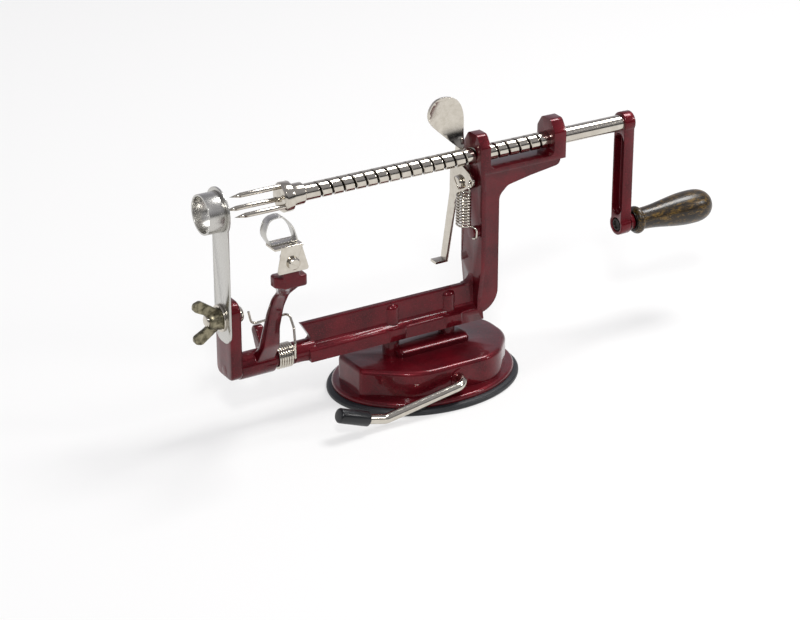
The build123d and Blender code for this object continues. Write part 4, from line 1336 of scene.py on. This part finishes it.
@dataclass
class PeelingArm(Assembly):
    """What the arm carries: the bent carrier, its screw, the peeling hoop and the torsion spring."""

    screw_slot_mm: Point = (9.0, 1.6, 0.9)
    screw_turn: float = 35.0
    wire_mm: float = 0.65
    coil_mm: float = 5.65
    turns: float = 6.5
    coil_x_mm: tuple[float, float] = (-86.4, -76.4)
    axis_z_mm: float = 33.3
    bend_mm: float = 3.0
    leg_mm: tuple[Point, ...] = (
        (-77.05, -5.65, 33.0),
        (-77.05, -5.65, 41.0),
        (-75.6, -2.0, 47.6),
        (-75.2, 3.6, 53.4),
        (-79.5, 7.4, 50.9),
        (-93.6, 8.2, 49.9),
        (-95.2, 8.2, 57.0),
    )

    def build(self) -> None:
        """Build the pieces in the order that they are fitted."""
        self.soften("blade_carrier", "peeling_arm", Slot.PLATE, width_mm=0.3, segments=3)
        self.soften("peeling_blade", "peeling_arm", Slot.GROUND, width_mm=0.1)
        low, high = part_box("carrier_screw")
        place = ((low.x + high.x) / 2, low.y, (low.z + high.z) / 2)
        slot = brick(place, metres(self.screw_slot_mm), self.screw_turn, "Y")
        self.soften("carrier_screw", "peeling_arm", Slot.PLATE, width_mm=0.15, cutters=[slot])
        self.build_spring()

    def build_spring(self) -> None:
        """The torsion spring: a close coil round the arbor and a leg that hooks over the arm's lug."""
        wire = self.wire_mm * MM
        axis = self.axis_z_mm * MM
        left, right = metres(self.coil_x_mm)
        tree = WireTree("torsion_spring", self.palette.pick(Slot.PLATE), left_handed=True)
        sizes = {
            "Wire Radius": wire,
            "Bend Radius": self.bend_mm * MM,
            "Turns": self.turns,
            "Coil Radius": self.coil_mm * MM,
            "Length": right - left - 2 * wire,
            "Foot": (left + wire, 0.0, axis),
            "Turn": (math.pi / 2, 0.0, math.pi / 2),
        }
        spring = tree.run("arm_spring_wire", sizes, wire_mesh("arm_spring_leg", [self.leg_mm]))
        self.stretch(spring, Slot.PLATE, "arm_spring", ("frame", "peeling_arm"), ((right, 0, axis), (left, 0, axis)))


@dataclass
class FixedBlades(Assembly):
    """The slicing blade, the coring ring and the bolt that clamps them."""

    head_from_mm: float = -107.3        # where the bolt's head begins
    head_share: float = 0.66
    bolt_z_mm: float = 61.5

    def build(self) -> None:
        """Build the blades, then the bolt, washer and wing nut."""
        self.soften("slicer_blade", "frame", Slot.GROUND, width_mm=0.12)
        self.soften("coring_ring", "frame", Slot.GROUND, width_mm=0.12)
        self.soften("blade_bolt", "frame", Slot.PLATE, width_mm=0.2, reshape=self.shrink_head)
        self.soften("blade_washer", "frame", Slot.PLATE, width_mm=0.2)
        self.soften("wing_nut", "wing_nut_body", Slot.BRASS, width_mm=0.5, segments=3)

    def shrink_head(self, point: Vector) -> Vector:
        """Give the bolt its small head.

        Args:
            point: a point of the bolt.

        Returns:
            Where it goes.
        """
        if point.x > self.head_from_mm:
            point.y *= self.head_share
            point.z = self.bolt_z_mm + (point.z - self.bolt_z_mm) * self.head_share
        return point


@dataclass
class FeedScrew(Assembly):
    """The feed shaft with its groove, and the fork on its end."""

    pitch_mm: float = 6.35
    groove_width_mm: float = 1.1
    groove_depth_mm: float = 0.8
    groove_edge_mm: float = 0.16        # half the width of each of its rounded edges
    run_in_mm: float = 1.2      # how far it takes to reach its depth at each end
    cap_mm: float = 0.1     # how far each end of the bar takes to close
    play_mm: float = 0.01       # keeps the shaft inside the radius of the CAD node
    tooth_mm: float = 25.69
    turns_left: int = 14
    turns_right: int = 7

    def build(self) -> None:
        """Build the shaft and the fork."""
        low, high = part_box("feed_shaft")
        tree = FeedScrewTree("feed_screw", self.palette.pick(Slot.PLATE, GROOVED))
        pitch = self.pitch_mm * MM
        tooth = self.tooth_mm * MM
        sizes = {
            "Length": high.x - low.x,
            "Radius": (high.z - low.z) / 2 - self.play_mm * MM,
            "Pitch": pitch,
            "Groove Width": self.groove_width_mm * MM,
            "Groove Depth": self.groove_depth_mm * MM,
            "Groove Edge": self.groove_edge_mm * MM,
            "Groove Start": tooth - self.turns_left * pitch,
            "Groove End": tooth + self.turns_right * pitch,
            "Run In": self.run_in_mm * MM,
            "Cap": self.cap_mm * MM,
            "Left End": low.x,
            "Height": (low.z + high.z) / 2,
            "Tooth": tooth,
        }
        shaft = tree.run("feed_shaft_skin", sizes)
        self.keep(shaft, "spindle", Slot.PLATE, "feed_shaft", finish=GROOVED)
        self.soften("fork_collar", "collar", Slot.PLATE, width_mm=0.2)
        self.soften("fork_hub", "spindle", Slot.PLATE, width_mm=0.2)
        self.soften("fork_prongs", "spindle", Slot.PLATE, width_mm=0.1)


@dataclass
class CrankHandle(Assembly):
    """The crank's screw and the turned wooden grip on its pin."""

    dimple_mm: tuple[tuple[float, float], ...] = ((-0.2, 2.4), (0.8, 1.9))      # depth and radius, in the pin's end
    neck_mm: float = 5.8
    bead_mm: float = 7.4
    bead_at_mm: float = 2.3
    bead_round_mm: float = 2.2
    shoulder_mm: float = 1.6        # how much thinner than the bead the grip's end face is
    belly_at: float = 0.70      # where along the grip it is thickest
    play_mm: float = 0.02       # keeps the belly inside the radius of the CAD node
    end_power: float = 2.9      # 2 would end the grip in an ellipse; more is blunter
    rings: int = 44

    def build(self) -> None:
        """Build the screw, the pin, the washer and the grip."""
        self.soften("crank_screw", "spindle", Slot.PLATE, width_mm=0.2)
        low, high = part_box("handle_pin")
        middle = (low + high) / 2
        dimple = turned("cutter", [metres(point) for point in self.dimple_mm], (low.x, middle.y, middle.z))
        # painted shade: the pin and its washer take dark steel, standing in for the shade in the hole at the pin's
        # end
        self.soften("handle_pin", "grip", Slot.PLATE, width_mm=0.2, finish=PAINTED_SHADE_STEEL, cutters=[dimple])
        self.soften("handle_washer", "grip", Slot.PLATE, width_mm=0.15, finish=PAINTED_SHADE_STEEL)
        self.build_grip()

    def build_grip(self) -> None:
        """A pear-shaped grip with a bead and a waist at the crank's end."""
        low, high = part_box("wooden_handle")
        middle = (low + high) / 2
        length = high.x - low.x
        belly = (high.z - low.z) / 2 - self.play_mm * MM
        neck, bead, at, curve = metres((self.neck_mm, self.bead_mm, self.bead_at_mm, self.bead_round_mm))
        profile = [(0.0, 0.0), (0.0, bead - self.shoulder_mm * MM)]
        profile += [(at + a, r) for a, r in arc((0, bead - curve), curve, 160, 20, steps=10)]
        start = 2 * at
        for n in range(self.rings + 1):
            t = n / self.rings
            rise = min(t / self.belly_at, 1.0)
            grow = neck + (belly - neck) * (0.5 - 0.5 * math.cos(math.pi * rise))
            past = max(0.0, (t - self.belly_at) / (1 - self.belly_at))
            profile.append((start + t * (length - start), grow * math.sqrt(max(0.0, 1 - past**self.end_power))))
        profile[-1] = (length, 0.0)
        grip = turned("wooden_handle_skin", profile, (low.x, middle.y, middle.z), steps=72)
        self.keep(grip, "grip", Slot.WOOD, "wooden_handle")


@dataclass
class ReleaseGear(Assembly):
    """The lever that frees the feed screw, its pivot screw and its spring."""

    screw_slot_mm: Point = (1.4, 9.0, 0.9)
    screw_turn: float = 50.0
    wire_mm: float = 0.5
    coil_mm: float = 3.5
    turns: float = 11.25
    centre_mm: tuple[float, float] = (20.4, -4.8)
    coil_z_mm: tuple[float, float] = (82.6, 99.8)
    bend_mm: float = 1.6
    ear_mm: Point = (25.7, -3.6, 104.4)
    peg_mm: Point = (25.8, -5.5, 78.0)
    peg_radius_mm: float = 3.0
    play_mm: float = 0.1        # between the loop and the peg

    def build(self) -> None:
        """Build the lever, the screw and the spring."""
        self.soften("release_lever", "feed_release", Slot.PLATE, width_mm=0.3, segments=3)
        low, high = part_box("lever_pivot_screw")
        middle = (low + high) / 2
        slot = brick((low.x, middle.y, middle.z), metres(self.screw_slot_mm), self.screw_turn, "X")
        self.soften("lever_pivot_screw", "frame", Slot.PLATE, width_mm=0.25, cutters=[slot])
        self.build_spring()

    def build_spring(self) -> None:
        """The extension spring: a close coil between the peg's loop and the lever's ear."""
        x, y = self.centre_mm
        low, high = self.coil_z_mm
        px, py, pz = self.peg_mm
        ex, ey, ez = self.ear_mm
        right = x + self.coil_mm
        reach = self.peg_radius_mm + self.wire_mm + self.play_mm
        side = reach * 0.9
        # from the coil's last turn down to the peg and round it
        loop = [
            (right, y, low + 0.4),
            (right, y - 1.0, low - 0.6),
            (px, py - reach, pz + 2.6),
            (px, py - side, pz - 2.4),
            (px, py, pz - reach),
            (px, py + side, pz - 2.2),
            (px, py + side, pz + 2.0),
        ]
        # from its first turn up, through the ear and down behind it
        hook = [
            (right, y, high - 0.4),
            (right, y, high + 1.6),
            (ex - 1.8, ey, high + 2.6),
            (ex - 1.6, ey, ez),
            (ex + 1.7, ey, ez + 0.1),
            (ex + 1.7, ey, ez - 1.8),
        ]
        tree = WireTree("extension_spring", self.palette.pick(Slot.PLATE))
        sizes = {
            "Wire Radius": self.wire_mm * MM,
            "Bend Radius": self.bend_mm * MM,
            "Turns": self.turns,
            "Coil Radius": self.coil_mm * MM,
            "Length": (high - low) * MM,
            "Foot": metres((x, y, low)),
            "Turn": (0.0, 0.0, 0.0),
        }
        spring = tree.run("release_spring_wire", sizes, wire_mesh("release_spring_hooks", [loop, hook]))
        ends = (metres((ex, ey, low)), metres((ex, ey, ez)))
        self.stretch(spring, Slot.PLATE, "release_spring", ("frame", "feed_release"), ends)


@dataclass(frozen=True)
class Lamp:
    """A square lamp: its place, its width in metres, its power in watts and its colour."""

    name: str
    place: Point
    width: float
    power: float
    colour: str = "#FFFFFF"


@dataclass
class Studio:
    """The floor, the surround, the lamps and the camera."""

    eye: Point = (-0.6073, -0.9918, 0.5745)
    yaw: float = 30.9
    pitch: float = 24.74
    lens_mm: float = 113.7
    sensor_mm: float = 36.0
    floor_half: float = 6.0
    floor_drop_mm: float = 0.05
    floor_colour: str = "#EFEEEC"
    floor_white: float = 0.55       # how much of the floor the camera and the mirrors see as plain white
    sky_level: float = 0.7
    sky_change: tuple[float, float] = (-0.25, 0.35)     # where along Y the near sky goes over into the far sky
    far_sky: Stops = ((0.0, "#F0F0F6"), (0.42, "#DCDBE6"), (0.65, "#B0B0B8"), (1.0, "#BEBEC4"))
    near_sky: Stops = (
        (0.0, "#C8C8CA"),
        (0.03, "#1E1E21"),
        (0.13, "#242427"),
        (0.26, "#B0B0B6"),
        (0.5, "#C6C6CC"),
        (1.0, "#BEBEC4"),
    )
    aim: Point = (0.02, 0.0, 0.07)      # what the lamps look at
    lamps: tuple[Lamp, ...] = (
        Lamp("key", (-0.75, -1.25, 1.45), 0.28, 14.0),
        Lamp("fill", (1.2, -0.9, 0.8), 0.25, 4.0, "#FFFDFA"),
        Lamp("top", (0.70, 0.0, 1.33), 0.48, 14.0),
    )

    def build(self) -> None:
        """Set the scene up."""
        scene = bpy.context.scene
        scene.view_settings.view_transform = "Standard"
        self.build_floor()
        self.build_world(scene)
        self.build_lamps()
        self.build_camera(scene)

    def build_floor(self) -> None:
        """A wide pale floor that keeps the shadow, and that the camera and the mirrors see nearer to white."""
        bm = bmesh.new()
        bmesh.ops.create_grid(bm, x_segments=1, y_segments=1, size=self.floor_half)
        bmesh.ops.translate(bm, vec=(0, 0, -self.floor_drop_mm * MM), verts=bm.verts)
        floor = from_bmesh("floor", bm)
        material = bpy.data.materials.new("pale_floor")
        material.use_nodes = True
        tree = material.node_tree
        tree.nodes.clear()
        matt = add(tree, "ShaderNodeBsdfDiffuse", values={"Color": linear(self.floor_colour)})
        white = add(tree, "ShaderNodeEmission", values={"Strength": 1.0})
        path = add(tree, "ShaderNodeLightPath")
        seen = path.outputs["Is Camera Ray"]
        for way in ("Is Glossy Ray", "Is Transmission Ray"):
            links = {0: seen, 1: path.outputs[way]}
            seen = add(tree, "ShaderNodeMath", settings={"operation": "MAXIMUM"}, links=links).outputs["Value"]
        share = add(
            tree,
            "ShaderNodeMath",
            settings={"operation": "MULTIPLY"},
            values={1: self.floor_white},
            links={0: seen},
        )
        mixed = add(
            tree,
            "ShaderNodeMixShader",
            links={0: share.outputs["Value"], 1: matt.outputs["BSDF"], 2: white.outputs["Emission"]},
        )
        add(tree, "ShaderNodeOutputMaterial", links={"Surface": mixed.outputs["Shader"]})
        floor.data.materials.append(material)

    def build_world(self, scene: bpy.types.Scene) -> None:
        """A pale surround, with a thin dark band low on the near side that gives the metal its dark lines.

        Args:
            scene: the scene that gets the world.
        """
        world = bpy.data.worlds.new("surround")
        scene.world = world
        world.use_nodes = True
        tree = world.node_tree
        tree.nodes.clear()
        way = add(tree, "ShaderNodeTexCoord")
        split = add(tree, "ShaderNodeSeparateXYZ", links={"Vector": way.outputs["Generated"]})
        near, far = (
            add(tree, "ShaderNodeValToRGB", links={"Fac": split.outputs["Z"]}, stops=stops).outputs["Color"]
            for stops in (self.near_sky, self.far_sky)
        )
        near_end, far_start = self.sky_change
        side = add(
            tree,
            "ShaderNodeMapRange",
            values={"From Min": near_end, "From Max": far_start},
            links={"Value": split.outputs["Y"]},
        )
        sky = add(
            tree,
            "ShaderNodeMix",
            settings={"data_type": "RGBA"},
            links={"Factor": side.outputs["Result"], 6: near, 7: far},
        )
        soft = add(
            tree, "ShaderNodeBackground", values={"Strength": self.sky_level}, links={"Color": sky.outputs[2]}
        )
        add(tree, "ShaderNodeOutputWorld", links={"Surface": soft.outputs["Background"]})

    def build_lamps(self) -> None:
        """Three square lamps that all look at the object."""
        for lamp in self.lamps:
            data = bpy.data.lights.new(lamp.name, "AREA")
            data.size = lamp.width
            data.energy = lamp.power
            data.color = linear(lamp.colour)[:3]
            light = link(bpy.data.objects.new(lamp.name, data))
            light.location = lamp.place
            light.rotation_euler = (Vector(self.aim) - Vector(lamp.place)).to_track_quat("-Z", "Y").to_euler()

    def build_camera(self, scene: bpy.types.Scene) -> None:
        """The camera at its place.

        Args:
            scene: the scene that uses it.
        """
        data = bpy.data.cameras.new("camera")
        data.lens = self.lens_mm
        data.sensor_width = self.sensor_mm
        data.clip_start = 0.05
        camera = link(bpy.data.objects.new("camera", data))
        camera.location = self.eye
        camera.rotation_euler = (math.radians(90 - self.pitch), 0.0, math.radians(-self.yaw))
        scene.camera = camera


def main() -> None:
    """Build every assembly in order."""
    logging.basicConfig(level=logging.INFO, format="%(name)s: %(message)s")
    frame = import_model()
    palette = Palette()
    Studio().build()
    for kind in (Castings, SuctionBase, PeelingArm, FixedBlades, FeedScrew, CrankHandle, ReleaseGear):
        kind(frame, palette).build()


if __name__ == "__main__":
    main()
